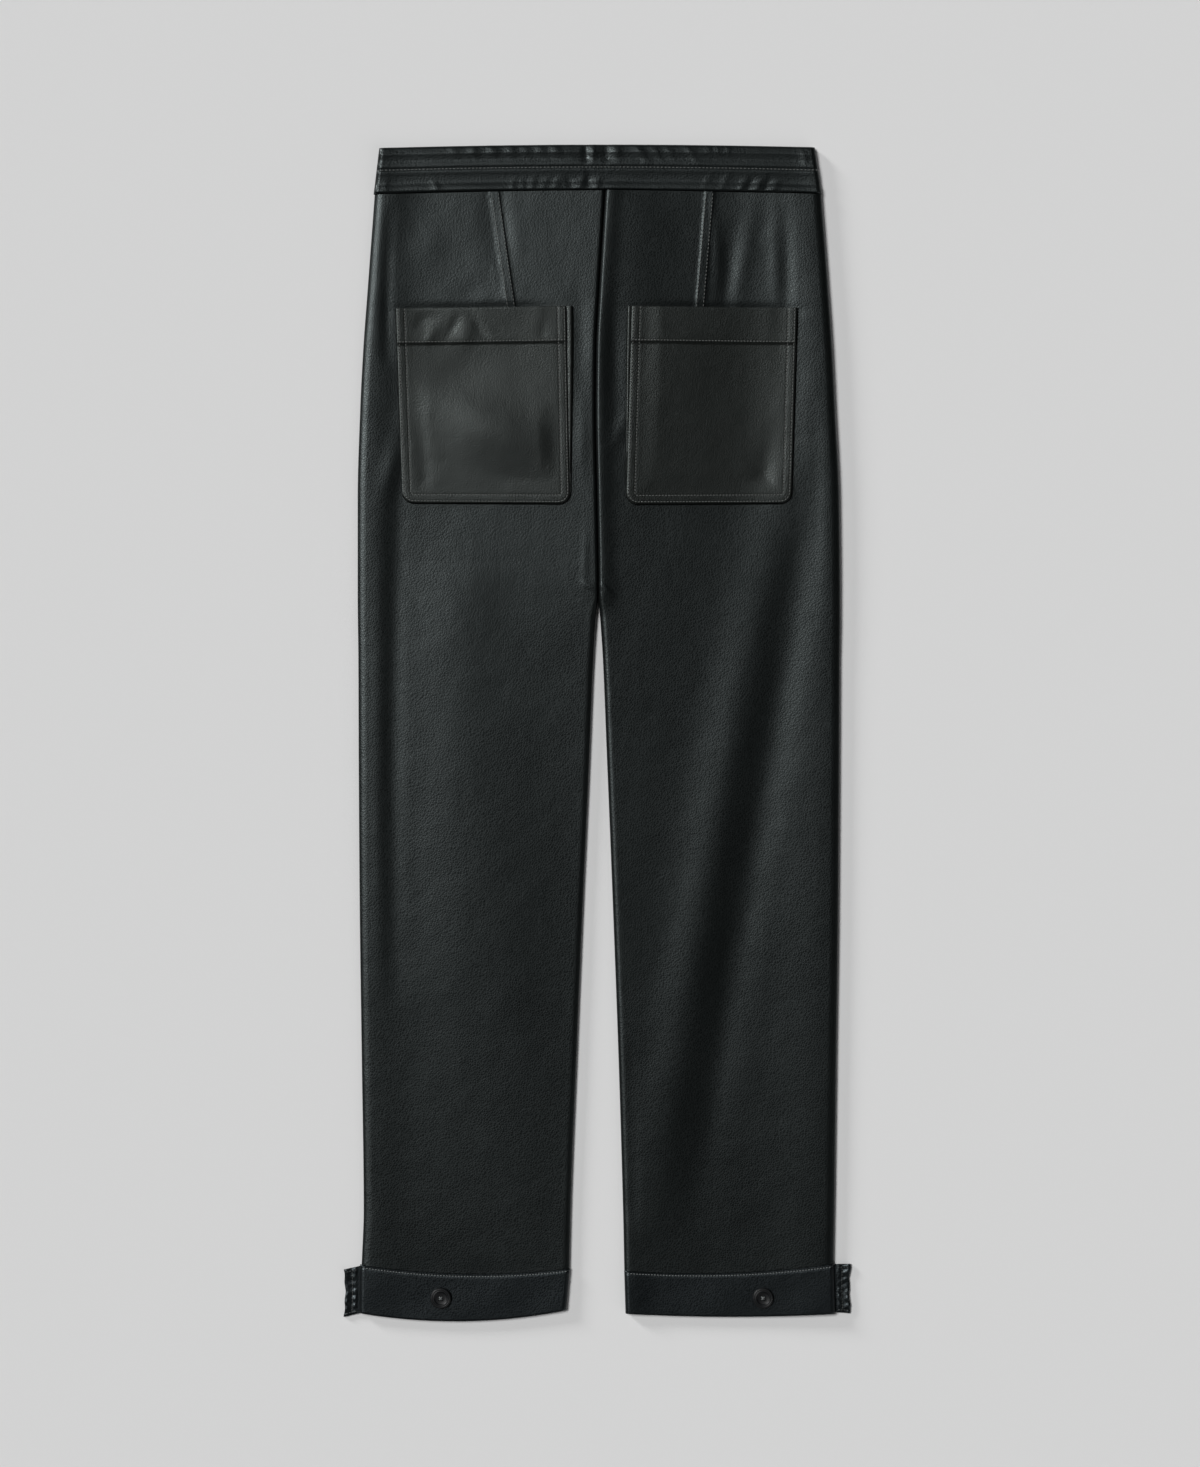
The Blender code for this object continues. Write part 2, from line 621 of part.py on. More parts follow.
def make_front_panel(side, finish):
    """The front panel, flat on the floor, drawn in from each edge by the back panel's wrap."""
    y = panel_rows()
    way = inward(side)
    outer = outer_edge(side, y) + way * (OUTER_ROLL_REACH + SEAM)
    share = leg_share(y)
    end_angle = np.radians(90 * share)
    wrap = inner_roll_reach(y) * (1 - np.cos(end_angle))
    gap = SEAM * share + WRAP_CLEARANCE * np.sin(math.pi * share)
    inner = inner_edge(side, y) - way * (wrap + gap)
    x = outer[:, None] + (inner - outer)[:, None] * np.linspace(0, 1, 4)
    warped_y = np.repeat(y[:, None], x.shape[1], axis=1)
    warped_y += step_up(1 - (y[0] - warped_y) / CURVE_FADE) * (waist_seam_y(x) - HALF_SEAM - y[0])
    cuff = cuff_seam_y(side, x) + HALF_SEAM
    warped_y += step_up(1 - (warped_y - y[-1]) / CURVE_FADE) * (cuff - y[-1])
    return flat_slab(f"front_panel_{side}", np.stack([x, warped_y], axis=-1), CLOTH, finish)


def band_ends(share):
    """x of the waistband's two ends at a share of its depth, from the waist seam up."""
    left = BAND_OUTLINE["left_low"] + (BAND_OUTLINE["left_top"] - BAND_OUTLINE["left_low"]) * share
    right = BAND_OUTLINE["right_low"] + (BAND_OUTLINE["right_top"] - BAND_OUTLINE["right_low"]) * share
    return left, right


def band_y(x, share):
    """y inside the waistband: 0 at the waist seam, 1 at the top edge."""
    low = waist_seam_y(x) + HALF_SEAM
    left, right = BAND_OUTLINE["left_low"], BAND_OUTLINE["right_low"]
    high = bowed(x, left, right, BAND_TOP["left_y"], BAND_TOP["right_y"], BAND_TOP["bow"])
    return low + (high - low) * share


def band_face(x, share):
    """Height of the waistband's outer face: two padded bands, the stitched ridge between them and the puckers."""
    z = BAND_FACE + np.interp(share, [p.share for p in BAND_PROFILE], [p.rise for p in BAND_PROFILE])
    for pucker in PUCKERS:
        along, across = (x - pucker.x) / pucker.width, (share - pucker.share) / PUCKER_LENGTH
        z = z + pucker.height * np.exp(-(along**2) - across**2)
    from_end = np.minimum(x - BAND_OUTLINE["left_low"], BAND_OUTLINE["right_low"] - x)
    return z + (BAND_ROLL_HEIGHT - BAND_FACE) * np.exp(-((from_end / BAND_SAG) ** 2))


def make_waistband_back(finish):
    share = np.array([p.share for p in BAND_PROFILE])
    left, right = band_ends(share)
    reach = np.full(len(share), BAND_ROLL_REACH)
    along = np.linspace(0, 1, BAND_COLUMNS)
    top_x = (left + BAND_ROLL_REACH)[:, None] + (right - left - 2 * BAND_ROLL_REACH)[:, None] * along
    top_z = band_face(top_x, share[:, None])
    angles = np.tile(np.array(ROLL_ANGLES, float), (len(share), 1))
    left_roll = roll(left, 1, reach, top_z[:, 0], top_z[:, 0] / 2, angles)
    right_roll = roll(right, -1, reach, top_z[:, -1], top_z[:, -1] / 2, angles[:, ::-1])
    x = np.concatenate([left_roll[0], top_x, right_roll[0]], axis=1)
    z = np.concatenate([left_roll[1], top_z, right_roll[1]], axis=1)
    outer = np.stack([x, band_y(x, share[:, None]), z], axis=-1)
    thin = np.zeros_like(outer)
    thin[..., 2] = 1
    thin[:, : len(ROLL_ANGLES)] = left_roll[2]
    thin[:, -len(ROLL_ANGLES) :] = right_roll[2]
    plain = z.copy()
    plain[:, len(ROLL_ANGLES) : -len(ROLL_ANGLES)] = np.minimum(top_z, BAND_FACE)
    level = np.stack([x, outer[..., 1], plain], axis=-1)
    return slab("waistband_back", outer, level - BAND_CLOTH * thin, finish)


def make_waistband_front(side, finish):
    """Half of the front waistband, flat on the floor, from the side to the centre front."""
    share = np.linspace(0, 1, 3)
    ends = band_ends(share)
    way = inward(side)
    outer = ends[0 if side == LEFT else 1] + way * (BAND_ROLL_REACH + SEAM)
    inner = np.full(len(share), OUTLINE[0].centre - way * HALF_SEAM)
    x = outer[:, None] + (inner - outer)[:, None] * np.linspace(0, 1, 8)
    y = band_y(x, share[:, None])
    y[-1] -= FRONT_HEM_BACK
    return flat_slab(f"waistband_front_{side}", np.stack([x, y], axis=-1), BAND_CLOTH, finish)


def cuff_points(side, x, share):
    """y inside a cuff: 0 at the stitched seam, 1 at the hem."""
    top = cuff_seam_y(side, x) - HALF_SEAM
    return top + (hem_y(side, x) - top) * share


def cuff_edge(side, name, share):
    top, low = CUFF_EDGES[side][name]
    return top + (low - top) * share


def cuff_face(side, x, share):
    """Height of the back cuff's outer face, which carries on the leg's own shape above it."""
    from_outer = np.maximum(inward(side) * (x - cuff_edge(side, "outer", share)) - CUFF_ROLL_REACH, 0)
    from_inner = np.maximum(inward(side) * (cuff_edge(side, "inner", share) - x) - CUFF_ROLL_REACH, 0)
    plateau = 2 * CUFF_CLOTH + SEAM + CUFF_STEP
    outer_rise = getattr(HEIGHTS[-1], f"outer_{side}") + CUFF_STEP - plateau
    inner_rise = getattr(HEIGHTS[-1], f"inner_{side}") + CUFF_STEP - plateau
    z = plateau + outer_rise * np.exp(-((from_outer / ROLL_SAG) ** 2))
    return z + inner_rise * np.exp(-((from_inner / CUFF_INNER_SAG) ** 2))


def make_cuff_back(side, finish):
    """The back of the cuff. Its outer end is free above the front cuff's tab, and its inner end wraps under."""
    share = np.array(CUFF_ROWS)
    way = inward(side)
    outer, inner = cuff_edge(side, "outer", share), cuff_edge(side, "inner", share)
    reach = np.full(len(share), CUFF_ROLL_REACH)
    along = np.linspace(0, 1, CUFF_COLUMNS)
    start, end = outer + way * CUFF_ROLL_REACH, inner - way * CUFF_ROLL_REACH
    top_x = start[:, None] + (end - start)[:, None] * along
    top_z = cuff_face(side, top_x, share[:, None])
    free = np.tile(np.array(CUFF_FREE_ANGLES, float), (len(share), 1))
    under = np.tile(np.array(ROLL_ANGLES[::-1], float), (len(share), 1))
    outer_roll = roll(outer, way, reach, top_z[:, 0], top_z[:, 0] / 2, free)
    inner_roll = roll(inner, -way, reach, top_z[:, -1], top_z[:, -1] / 2, under)
    x = np.concatenate([outer_roll[0], top_x, inner_roll[0]], axis=1)
    z = np.concatenate([outer_roll[1], top_z, inner_roll[1]], axis=1)
    points = np.stack([x, cuff_points(side, x, share[:, None]), z], axis=-1)
    normals = grid_normals(points)
    normals[:, : len(CUFF_FREE_ANGLES)] = outer_roll[2]
    normals[:, -len(ROLL_ANGLES) :] = inner_roll[2]
    normals[..., 1] = 0
    return slab(f"cuff_back_{side}", points, points - CUFF_CLOTH * unit(normals), finish)


def make_cuff_front(side, finish):
    """The front of the cuff, flat on the floor, from the tab's root to the inner fold."""
    share = np.array([0.0, 0.5, 1.0])
    way = inward(side)
    outer = cuff_edge(side, "outer", share) + way * (TAB_ROOT + SEAM)
    inner = cuff_edge(side, "inner", share) - way * (CUFF_ROLL_REACH + SEAM)
    x = outer[:, None] + (inner - outer)[:, None] * np.linspace(0, 1, 7)
    y = cuff_points(side, x, share[:, None])
    y[-1] += FRONT_HEM_BACK
    return flat_slab(f"cuff_front_{side}", np.stack([x, y], axis=-1), CUFF_CLOTH, finish)


def make_tab(side, finish):
    """The cuff's tab, which reaches out past the side with a soft crease down it."""
    tab = TABS[side]
    way = inward(side)
    out = np.array(TAB_COLUMNS)
    down = np.linspace(0, 1, TAB_ROWS)[:, None]
    root_x = cuff_edge(side, "outer", down) + way * TAB_ROOT
    top = tab["root_y"][0] + (tab["tip_y"][0] - tab["root_y"][0]) * out
    low = tab["root_y"][1] + (tab["tip_y"][1] - tab["root_y"][1]) * out
    y = top + (low - top) * down
    x = root_x + (tab["tip_x"] - root_x) * out + way * TAB_BULGE * np.sin(down * math.pi) * out
    beyond_root = step_up((out - 0.3) / 0.2)
    crease = TAB_CREASE * np.sin(out * math.pi * 1.6) ** 2 * (0.6 + 0.4 * np.cos(down * 9))
    outer = np.stack([x, y, CUFF_CLOTH + crease * beyond_root], axis=-1)
    inner = np.stack([x, y, crease * beyond_root / 2], axis=-1)
    return slab(f"cuff_tab_{side}", outer, inner, finish)


def make_button(side, finish):
    """A turned four-hole button with a raised rim, standing just clear of the cuff."""
    x, y = BUTTON_PLACES[side]
    ring = np.linspace(0, 2 * math.pi, 9)
    share = (cuff_seam_y(side, x) - y) / (cuff_seam_y(side, x) - hem_y(side, x))
    rest = cuff_face(side, x + BUTTON_RADIUS * np.cos(ring), share).max() + SEAM
    name = f"button_{side}"
    turned = bpy.data.meshes.new(name)
    profile = [(radius * MM, 0.0, height * MM) for radius, height in BUTTON_PROFILE]
    turned.from_pydata(profile, [(i, i + 1) for i in range(len(profile) - 1)], [])
    button = bpy.data.objects.new(name, turned)
    bpy.context.scene.collection.objects.link(button)
    button.location = (x * MM, y * MM, rest * MM)
    button.data.materials.append(finish)
    spin = button.modifiers.new("turn", "SCREW")
    spin.steps = spin.render_steps = BUTTON_STEPS
    spin.use_merge_vertices = True
    spin.merge_threshold = 0.00005
    for i in range(4):
        angle = math.radians(45 + 90 * i)
        across, up = math.cos(angle) * BUTTON_HOLE_PITCH, math.sin(angle) * BUTTON_HOLE_PITCH
        drill = cylinder(f"{name}_drill_{i}", (x + across, y + up, rest), BUTTON_HOLE_RADIUS, 12.0)
        cut = button.modifiers.new(f"hole_{i}", "BOOLEAN")
        cut.operation = "DIFFERENCE"
        cut.object = drill
    return button


def cylinder(name, middle, radius, length, steps=8):
    """An upright cylinder to cut a hole with, which isn't part of the garment."""
    ring = np.arange(steps) * 2 * math.pi / steps
    circle = np.stack([np.cos(ring) * radius, np.sin(ring) * radius], axis=-1)
    low = np.concatenate([circle, np.full((steps, 1), -length / 2)], axis=-1)
    high = np.concatenate([circle, np.full((steps, 1), length / 2)], axis=-1)
    walls = [[i, (i + 1) % steps, (i + 1) % steps + steps, i + steps] for i in range(steps)]
    ends = [list(range(steps))[::-1], list(range(steps, 2 * steps))]
    mesh = bpy.data.meshes.new(name)
    mesh.from_pydata((np.concatenate([low, high]) * MM).tolist(), [], walls + ends)
    made = bpy.data.objects.new(name, mesh)
    bpy.context.scene.collection.objects.link(made)
    made.location = [value * MM for value in middle]
    made.hide_render = True
    made.display_type = "WIRE"
    return made


def clear_scene():
    for found in list(bpy.data.objects):
        bpy.data.objects.remove(found)


def main():
    clear_scene()
    leather = material("faux_leather", LEATHER_BLACK, 0.38)
    pocket_leather = material("pocket_leather", LEATHER_BLACK, 0.34)
    horn = material("button_resin", BUTTON_BLACK, 0.3)
    for side in SIDES:
        points, normals = back_panel_grid(side)
        slab(f"back_panel_{side}", points, points - CLOTH * normals, leather)
        surface = PanelSurface(points)
        make_pocket(side, surface, pocket_leather)
        make_gusset(side, surface, pocket_leather)
        make_front_panel(side, leather)
        make_waistband_front(side, leather)
        make_cuff_back(side, leather)
        make_cuff_front(side, leather)
        make_tab(side, leather)
        make_button(side, horn)
    make_waistband_back(leather)


main()
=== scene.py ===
"""Looks of faux leather trousers, laid flat with the back up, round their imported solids.

Lengths are in millimetres until a mesh is made. The waist points to +Y, the wearer's left is -X,
and the surface that the trousers lie on is z = 0.
"""

from __future__ import annotations

import logging
import math
from collections.abc import Callable, Sequence
from dataclasses import dataclass, field
from enum import Enum

import bpy
import numpy as np
from mathutils import Matrix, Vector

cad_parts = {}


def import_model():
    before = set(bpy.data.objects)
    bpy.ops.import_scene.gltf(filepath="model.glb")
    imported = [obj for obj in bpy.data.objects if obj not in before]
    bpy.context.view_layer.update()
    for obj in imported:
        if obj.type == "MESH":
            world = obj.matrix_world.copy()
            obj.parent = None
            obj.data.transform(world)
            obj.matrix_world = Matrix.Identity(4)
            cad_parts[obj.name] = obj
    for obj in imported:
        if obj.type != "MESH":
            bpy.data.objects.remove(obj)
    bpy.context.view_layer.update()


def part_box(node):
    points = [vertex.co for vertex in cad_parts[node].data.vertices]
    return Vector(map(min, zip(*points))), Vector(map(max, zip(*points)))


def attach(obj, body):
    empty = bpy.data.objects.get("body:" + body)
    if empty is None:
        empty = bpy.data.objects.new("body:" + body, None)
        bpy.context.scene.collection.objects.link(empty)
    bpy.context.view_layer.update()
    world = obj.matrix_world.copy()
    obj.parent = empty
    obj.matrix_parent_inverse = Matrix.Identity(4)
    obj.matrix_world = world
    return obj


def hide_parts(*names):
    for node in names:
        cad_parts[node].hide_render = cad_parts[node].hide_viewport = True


MM = 0.001
BODY = "root"
# Degrees above a roll's middle: from straight under it to just short of its top.
ROLL_ANGLES = (-90.0, 84.0)
# Edges of cloth that meet at more than this many degrees are drawn sharp.
SHARP_ANGLE = 50.0
LOG = logging.getLogger("trousers")

Array = np.ndarray
Place = Callable[[Array, Array], Array]


class Side(Enum):
    """One half of the garment, named for the wearer's own side."""

    LEFT = "left"
    RIGHT = "right"

    @property
    def inward(self) -> int:
        """1 where the garment's middle lies towards +X, or else -1."""
        return 1 if self is Side.LEFT else -1


class Wear(Enum):
    """Which face of the cloth a mesh face shows, as its material index."""

    OUTER = 0
    BACKING = 1


# ---------------------------------------------------------------- curves and reliefs


def step_up(t: Array) -> Array:
    """0 below t = 0, 1 above t = 1, and a smooth step between.

    Args:
        t: where along the step.

    Returns:
        The step's height.
    """
    t = np.clip(t, 0, 1)
    return t * t * (3 - 2 * t)


def bell(t: Array) -> Array:
    """A Gaussian bell, 1 at t = 0."""
    return np.exp(-(t**2))


def smooth(y: Array, knots: Sequence[float], values: Sequence[float]) -> Array:
    """A cubic through the knots, whose slopes are limited so that it never overshoots.

    Args:
        y: where to read the curve.
        knots: the knots' places, in any order.
        values: the curve's value at each knot.

    Returns:
        The curve's values, held level beyond the end knots.
    """
    order = np.argsort(knots)
    k, v = np.asarray(knots, float)[order], np.asarray(values, float)[order]
    steps = np.diff(v) / np.diff(k)
    slopes = np.zeros(len(v))
    same_way = steps[1:] * steps[:-1] > 0
    slopes[1:-1][same_way] = 2 / (1 / steps[1:][same_way] + 1 / steps[:-1][same_way])
    slopes[0], slopes[-1] = steps[0], steps[-1]
    i = np.clip(np.searchsorted(k, y) - 1, 0, len(steps) - 1)
    width = k[i + 1] - k[i]
    t = (np.clip(y, k[0], k[-1]) - k[i]) / width
    low = v[i] * (1 + 2 * t) * (1 - t) ** 2 + slopes[i] * width * t * (1 - t) ** 2
    high = v[i + 1] * t**2 * (3 - 2 * t) + slopes[i + 1] * width * t**2 * (t - 1)
    return low + high


@dataclass(frozen=True)
class Fold:
    """A long soft fold: a bell across a crest that runs through three points."""

    top_x: float
    top_y: float
    mid_x: float
    mid_y: float
    low_x: float
    low_y: float
    width: float
    height: float

    def line(self, y: Array) -> Array:
        """x of the crest: the parabola through the three points."""
        top = (y - self.mid_y) * (y - self.low_y) / ((self.top_y - self.mid_y) * (self.top_y - self.low_y))
        mid = (y - self.top_y) * (y - self.low_y) / ((self.mid_y - self.top_y) * (self.mid_y - self.low_y))
        return self.top_x * top + self.mid_x * mid + self.low_x * (1 - top - mid)

    def relief(self, x: Array, y: Array) -> Array:
        """The fold's height, which fades towards its two ends.

        Args:
            x: places across.
            y: places along.

        Returns:
            The height at each place.
        """
        inside = np.clip((self.top_y - y) / (self.top_y - self.low_y), 0, 1)
        fade = np.sin(math.pi * inside) ** 0.7
        return self.height * fade * bell((x - self.line(y)) / self.width)


@dataclass(frozen=True)
class Ripple:
    """A short fold: an oval bell, turned by an angle in degrees from +X."""

    x: float
    y: float
    angle: float
    length: float
    width: float
    height: float

    def relief(self, x: Array, y: Array) -> Array:
        """The ripple's height at each place: a bell along it times a bell across it."""
        turn = math.radians(self.angle)
        along = (x - self.x) * math.cos(turn) + (y - self.y) * math.sin(turn)
        across = (y - self.y) * math.cos(turn) - (x - self.x) * math.sin(turn)
        return self.height * bell(along / self.length) * bell(across / self.width)


def relief_of(parts: Sequence[Fold | Ripple], x: Array, y: Array) -> Array:
    """The sum of several folds and ripples.

    Args:
        parts: the folds and ripples.
        x: places across.
        y: places along.

    Returns:
        The summed height at each place.
    """
    total = np.zeros(np.broadcast(x, y).shape)
    for part in parts:
        total = total + part.relief(x, y)
    return total


def unit(vectors: Array) -> Array:
    """The vectors at length 1."""
    return vectors / np.maximum(np.linalg.norm(vectors, axis=-1, keepdims=True), 1e-12)


def bowed(x: Array, outer_x: float, inner_x: float, outer_y: float, inner_y: float, bow: float) -> Array:
    """A line between two ends with a bow in the middle, as a function of x.

    Args:
        x: places along the line.
        outer_x: x of its first end.
        inner_x: x of its second end.
        outer_y: y of its first end.
        inner_y: y of its second end.
        bow: how far its middle stands off the straight line.

    Returns:
        y of the line at each place.
    """
    t = np.clip((x - outer_x) / (inner_x - outer_x), 0, 1)
    return outer_y + (inner_y - outer_y) * t + bow * 4 * t * (1 - t)


def slanted(x: Array, start: Array, end: Array) -> Array:
    """y at x of the straight line through two plan points."""
    return start[1] + (end[1] - start[1]) * (x - start[0]) / (end[0] - start[0])


def spaced(stops: Sequence[Array], splits: Sequence[int]) -> Array:
    """Places between stops, each stretch split evenly.

    Args:
        stops: one more than the splits; each has one value for each row.
        splits: how many steps each stretch gets.

    Returns:
        An array with a row of places for each row of the stops.
    """
    found = [stops[0][:, None]]
    for low, high, count in zip(stops[:-1], stops[1:], splits):
        steps = (np.arange(count) + 1) / count
        found.append(low[:, None] + (high - low)[:, None] * steps)
    return np.concatenate(found, axis=1)


def crowded(count: int, strength: float) -> Array:
    """0 to 1 in steps that grow closer towards both ends: t - strength * sin(2 pi t) / (2 pi).

    Args:
        count: how many places.
        strength: 0 for even steps, up to 1.

    Returns:
        The places.
    """
    t = np.linspace(0, 1, count)
    return t - strength * np.sin(2 * math.pi * t) / (2 * math.pi)


def rounded_rim(share: Array, depth: float) -> Array:
    """How far a plate's faces draw in where share is 0 or 1: depth * (1 - sin(pi share) ** 0.3)."""
    return depth * (1 - np.sin(math.pi * share) ** 0.3)


def roll(
    edge_x: Array, way: int, reach: Array, top_z: Array, drop: Array, angles: Array
) -> tuple[Array, Array, Array]:
    """An upright half ellipse along an edge, one point for each angle above its middle.

    Args:
        edge_x: x of the edge, for each row.
        way: 1 or -1, the way from the edge into the cloth along X.
        reach: the ellipse's half width, for each row.
        top_z: its top, for each row.
        drop: its half height, for each row.
        angles: degrees above its middle, a row of them for each row.

    Returns:
        x, z and the outward normals.
    """
    a = np.radians(angles)
    x = (edge_x + way * reach)[:, None] - way * reach[:, None] * np.cos(a)
    z = (top_z - drop)[:, None] + drop[:, None] * np.sin(a)
    across, up = -way * np.cos(a) / reach[:, None], np.sin(a) / drop[:, None]
    return x, z, unit(np.stack([across, np.zeros_like(x), up], axis=-1))


def grid_normals(points: Array) -> Array:
    """Normals of a grid of points, on the side that looks up, from its neighbours' differences."""
    normals = unit(np.cross(np.gradient(points, axis=0), np.gradient(points, axis=1)))
    return normals if normals[len(normals) // 2, normals.shape[1] // 2, 2] > 0 else -normals


# ---------------------------------------------------------------- meshes


def link_mesh(name: str, points: Array, quads: Array, indices: Array | None = None) -> bpy.types.Object:
    """A smooth mesh object from points in millimetres and quads.

    Args:
        name: the piece's name.
        points: its points, in millimetres.
        quads: four point numbers for each face.
        indices: the material index of each face.

    Returns:
        The linked object, at the origin.
    """
    mesh = bpy.data.meshes.new(name)
    mesh.vertices.add(len(points))
    mesh.vertices.foreach_set("co", (points * MM).astype(np.float32).ravel())
    mesh.loops.add(quads.size)
    mesh.loops.foreach_set("vertex_index", quads.astype(np.int32).ravel())
    mesh.polygons.add(len(quads))
    mesh.polygons.foreach_set("loop_start", np.arange(len(quads), dtype=np.int32) * 4)
    mesh.update(calc_edges=True)
    if indices is not None:
        mesh.polygons.foreach_set("material_index", indices.astype(np.int32))
    mesh.validate()
    mesh.shade_smooth()
    mesh.set_sharp_from_angle(angle=math.radians(SHARP_ANGLE))
    made = bpy.data.objects.new(name, mesh)
    bpy.context.scene.collection.objects.link(made)
    return made


def strand_quads(rings: int, sides: int, copies: int) -> Array:
    """Quads of strands that are closed at both ends, with all the rings of one strand before the next.

    Args:
        rings: rings of points along each strand.
        sides: points round each ring, an even number.
        copies: how many strands.

    Returns:
        Four point numbers for each face.
    """
    index = np.arange(rings * sides).reshape(rings, sides)
    following = np.roll(index, -1, axis=1)
    tube = np.stack([index[:-1], following[:-1], following[1:], index[1:]], axis=-1).reshape(-1, 4)
    near, far = np.arange(sides // 2 - 1), np.arange(1, sides // 2)
    cap = np.stack([near, far, sides - 1 - far, sides - 1 - near], axis=-1)
    quads = np.concatenate([tube, cap[:, ::-1], cap + (rings - 1) * sides])
    every = quads[None] + (np.arange(copies) * rings * sides)[:, None, None]
    return every.reshape(-1, 4)


def cloth_wall(
    name: str, outer: Array, inner: Array, finishes: Sequence[bpy.types.Material]
) -> bpy.types.Object:
    """A closed wall of cloth between two grids of the same size.

    Args:
        name: the piece's name.
        outer: the grid of the face that shows.
        inner: the grid of the face behind it.
        finishes: the materials of the outer face and of the backing.

    Returns:
        The piece.
    """
    rows, columns = outer.shape[:2]
    count = rows * columns
    index = np.arange(count).reshape(rows, columns)
    face = np.stack([index[:-1, :-1], index[:-1, 1:], index[1:, 1:], index[1:, :-1]], axis=-1).reshape(-1, 4)
    rim = np.concatenate([index[0, :-1], index[:-1, -1], index[-1, :0:-1], index[:0:-1, 0]])
    following = np.roll(rim, -1)
    wall = np.stack([rim, rim + count, following + count, following], axis=-1)
    quads = np.concatenate([face, face[:, ::-1] + count, wall])
    points = np.concatenate([outer.reshape(-1, 3), inner.reshape(-1, 3)])
    sample = points[face[len(face) // 2]]
    facing = np.cross(sample[1] - sample[0], sample[3] - sample[0])
    if facing @ (sample[0] - points[face[len(face) // 2][0] + count]) < 0:
        quads = quads[:, ::-1]
    indices = np.full(len(quads), Wear.OUTER.value)
    indices[len(face) : 2 * len(face)] = Wear.BACKING.value
    made = link_mesh(name, points, quads, indices)
    for finish in finishes:
        made.data.materials.append(finish)
    return made


# ---------------------------------------------------------------- the laid form


@dataclass(frozen=True)
class LaidForm:
    """The laid garment's outline and main heights, as its solids have them."""

    cloth: float = 1.2
    cuff_cloth: float = 2.2
    band_cloth: float = 2.6
    seam: float = 0.3
    lowest_face: float = 2.8
    crotch_y: float = 122.0
    leg_roll_start: float = 3.0
    leg_roll_length: float = 24.0
    outer_roll_reach: float = 8.0
    seam_roll_reach: float = 3.0
    leg_roll_reach: float = 5.0
    seam_valley: float = 3.5
    roll_sag: tuple[float, float] = (24.0, 42.0)
    slope_power: float = 1.15
    fold_margin: float = 14.0
    curve_fade: float = 70.0
    waist_y: float = 474.0
    cuff_y: float = -470.0
    stations: tuple[tuple[float, ...], ...] = (
        # y, outer left, centre, half the gap between the legs, outer right
        (474, -195.8, 7.0, 0.0, 197.1),
        (390, -202.0, 1.6, 0.0, 203.3),
        (337, -205.9, -1.1, 0.0, 206.8),
        (284, -208.6, -1.6, 0.0, 209.4),
        (205, -210.8, -0.2, 0.0, 213.0),
        (122, -210.8, 1.1, 0.0, 213.8),
        (98, -210.6, 0.7, 1.9, 213.8),
        (64, -210.2, 0.8, 4.0, 213.4),
        (-24, -209.9, 0.8, 7.6, 213.0),
        (-156, -209.0, 0.5, 13.2, 212.1),
        (-288, -207.2, 0.2, 18.4, 210.3),
        (-420, -205.5, -0.4, 22.9, 208.6),
        (-470, -207.3, -0.4, 24.0, 207.7),
    )
    heights: tuple[tuple[float, ...], ...] = (
        # y, outer roll left, outer roll right, plateau, inner roll left, inner roll right, inner sag
        (474, 6.4, 8.4, 4.0, 8.0, 8.8, 170.0),
        (330, 6.0, 8.8, 3.6, 8.6, 9.6, 176.0),
        (150, 5.8, 8.2, 3.8, 8.2, 9.0, 170.0),
        (40, 5.6, 7.2, 4.2, 5.6, 7.4, 120.0),
        (-200, 5.4, 6.8, 4.2, 5.0, 6.6, 90.0),
        (-470, 5.4, 6.4, 4.2, 5.0, 6.2, 70.0),
    )
    lines: tuple[tuple[float, ...], ...] = (
        # y, pocket's outer side, pocket's inner side, spread of the columns round the dart
        (474, 0.13, 0.86, 0.0),
        (374, 0.14, 0.86, 0.0),
        (300, 0.17, 0.87, 0.4),
        (205, 0.20, 0.88, 1.0),
        (-470, 0.22, 0.80, 1.0),
    )
    folds: tuple[Fold, ...] = (
        Fold(206, 300, 148, -24, 79, -450, 18, -1.6),
        Fold(172, 260, 117, -24, 47, -450, 25, 2.6),
        Fold(-174, 262, -180, 20, -178, -240, 9, -0.8),
        Fold(-128, 170, -122, -20, -116, -260, 34, 1.2),
        Fold(-186, 466, -188, 400, -184, 320, 7, -1.2),
    )
    darts: dict[Side, tuple[float, ...]] = field(
        default_factory=lambda: {
            Side.LEFT: (-90.2, 473.4, -76.1, 376.6),
            Side.RIGHT: (98.6, 473.4, 90.2, 374.9),
        }
    )
    dart_half: float = 3.2
    dart_foot: float = 4.6
    dart_rise: float = 0.5
    dart_end_y: float = 352.0
    dart_fade: float = 12.0
    waist_seam: tuple[float, float] = (473.4, 3.4)
    band_low: tuple[float, float] = (-196.7, 197.6)

    def read(self, table: tuple[tuple[float, ...], ...], column: int, y: Array) -> Array:
        """A column of a table whose first column is y, read at y."""
        return smooth(y, [row[0] for row in table], [row[column] for row in table])

    def outer_edge(self, side: Side, y: Array) -> Array:
        """x of the outseam's fold."""
        return self.read(self.stations, 1 if side is Side.LEFT else 4, y)

    def inner_edge(self, side: Side, y: Array) -> Array:
        """x of the inseam's fold below the crotch, and of the centre seam above it."""
        gap = self.read(self.stations, 3, y) + self.seam / 2
        return self.read(self.stations, 2, y) - side.inward * gap

    def leg_share(self, y: Array) -> Array:
        """0 on the seat, 1 on the legs."""
        return step_up((self.crotch_y + self.leg_roll_start - y) / self.leg_roll_length)

    def inner_reach(self, y: Array) -> Array:
        """Half width of the inner roll's ellipse."""
        return self.seam_roll_reach + (self.leg_roll_reach - self.seam_roll_reach) * self.leg_share(y)

    def sag(self, side: Side) -> float:
        """How far the outer roll's slope runs in."""
        return self.roll_sag[0 if side is Side.LEFT else 1]

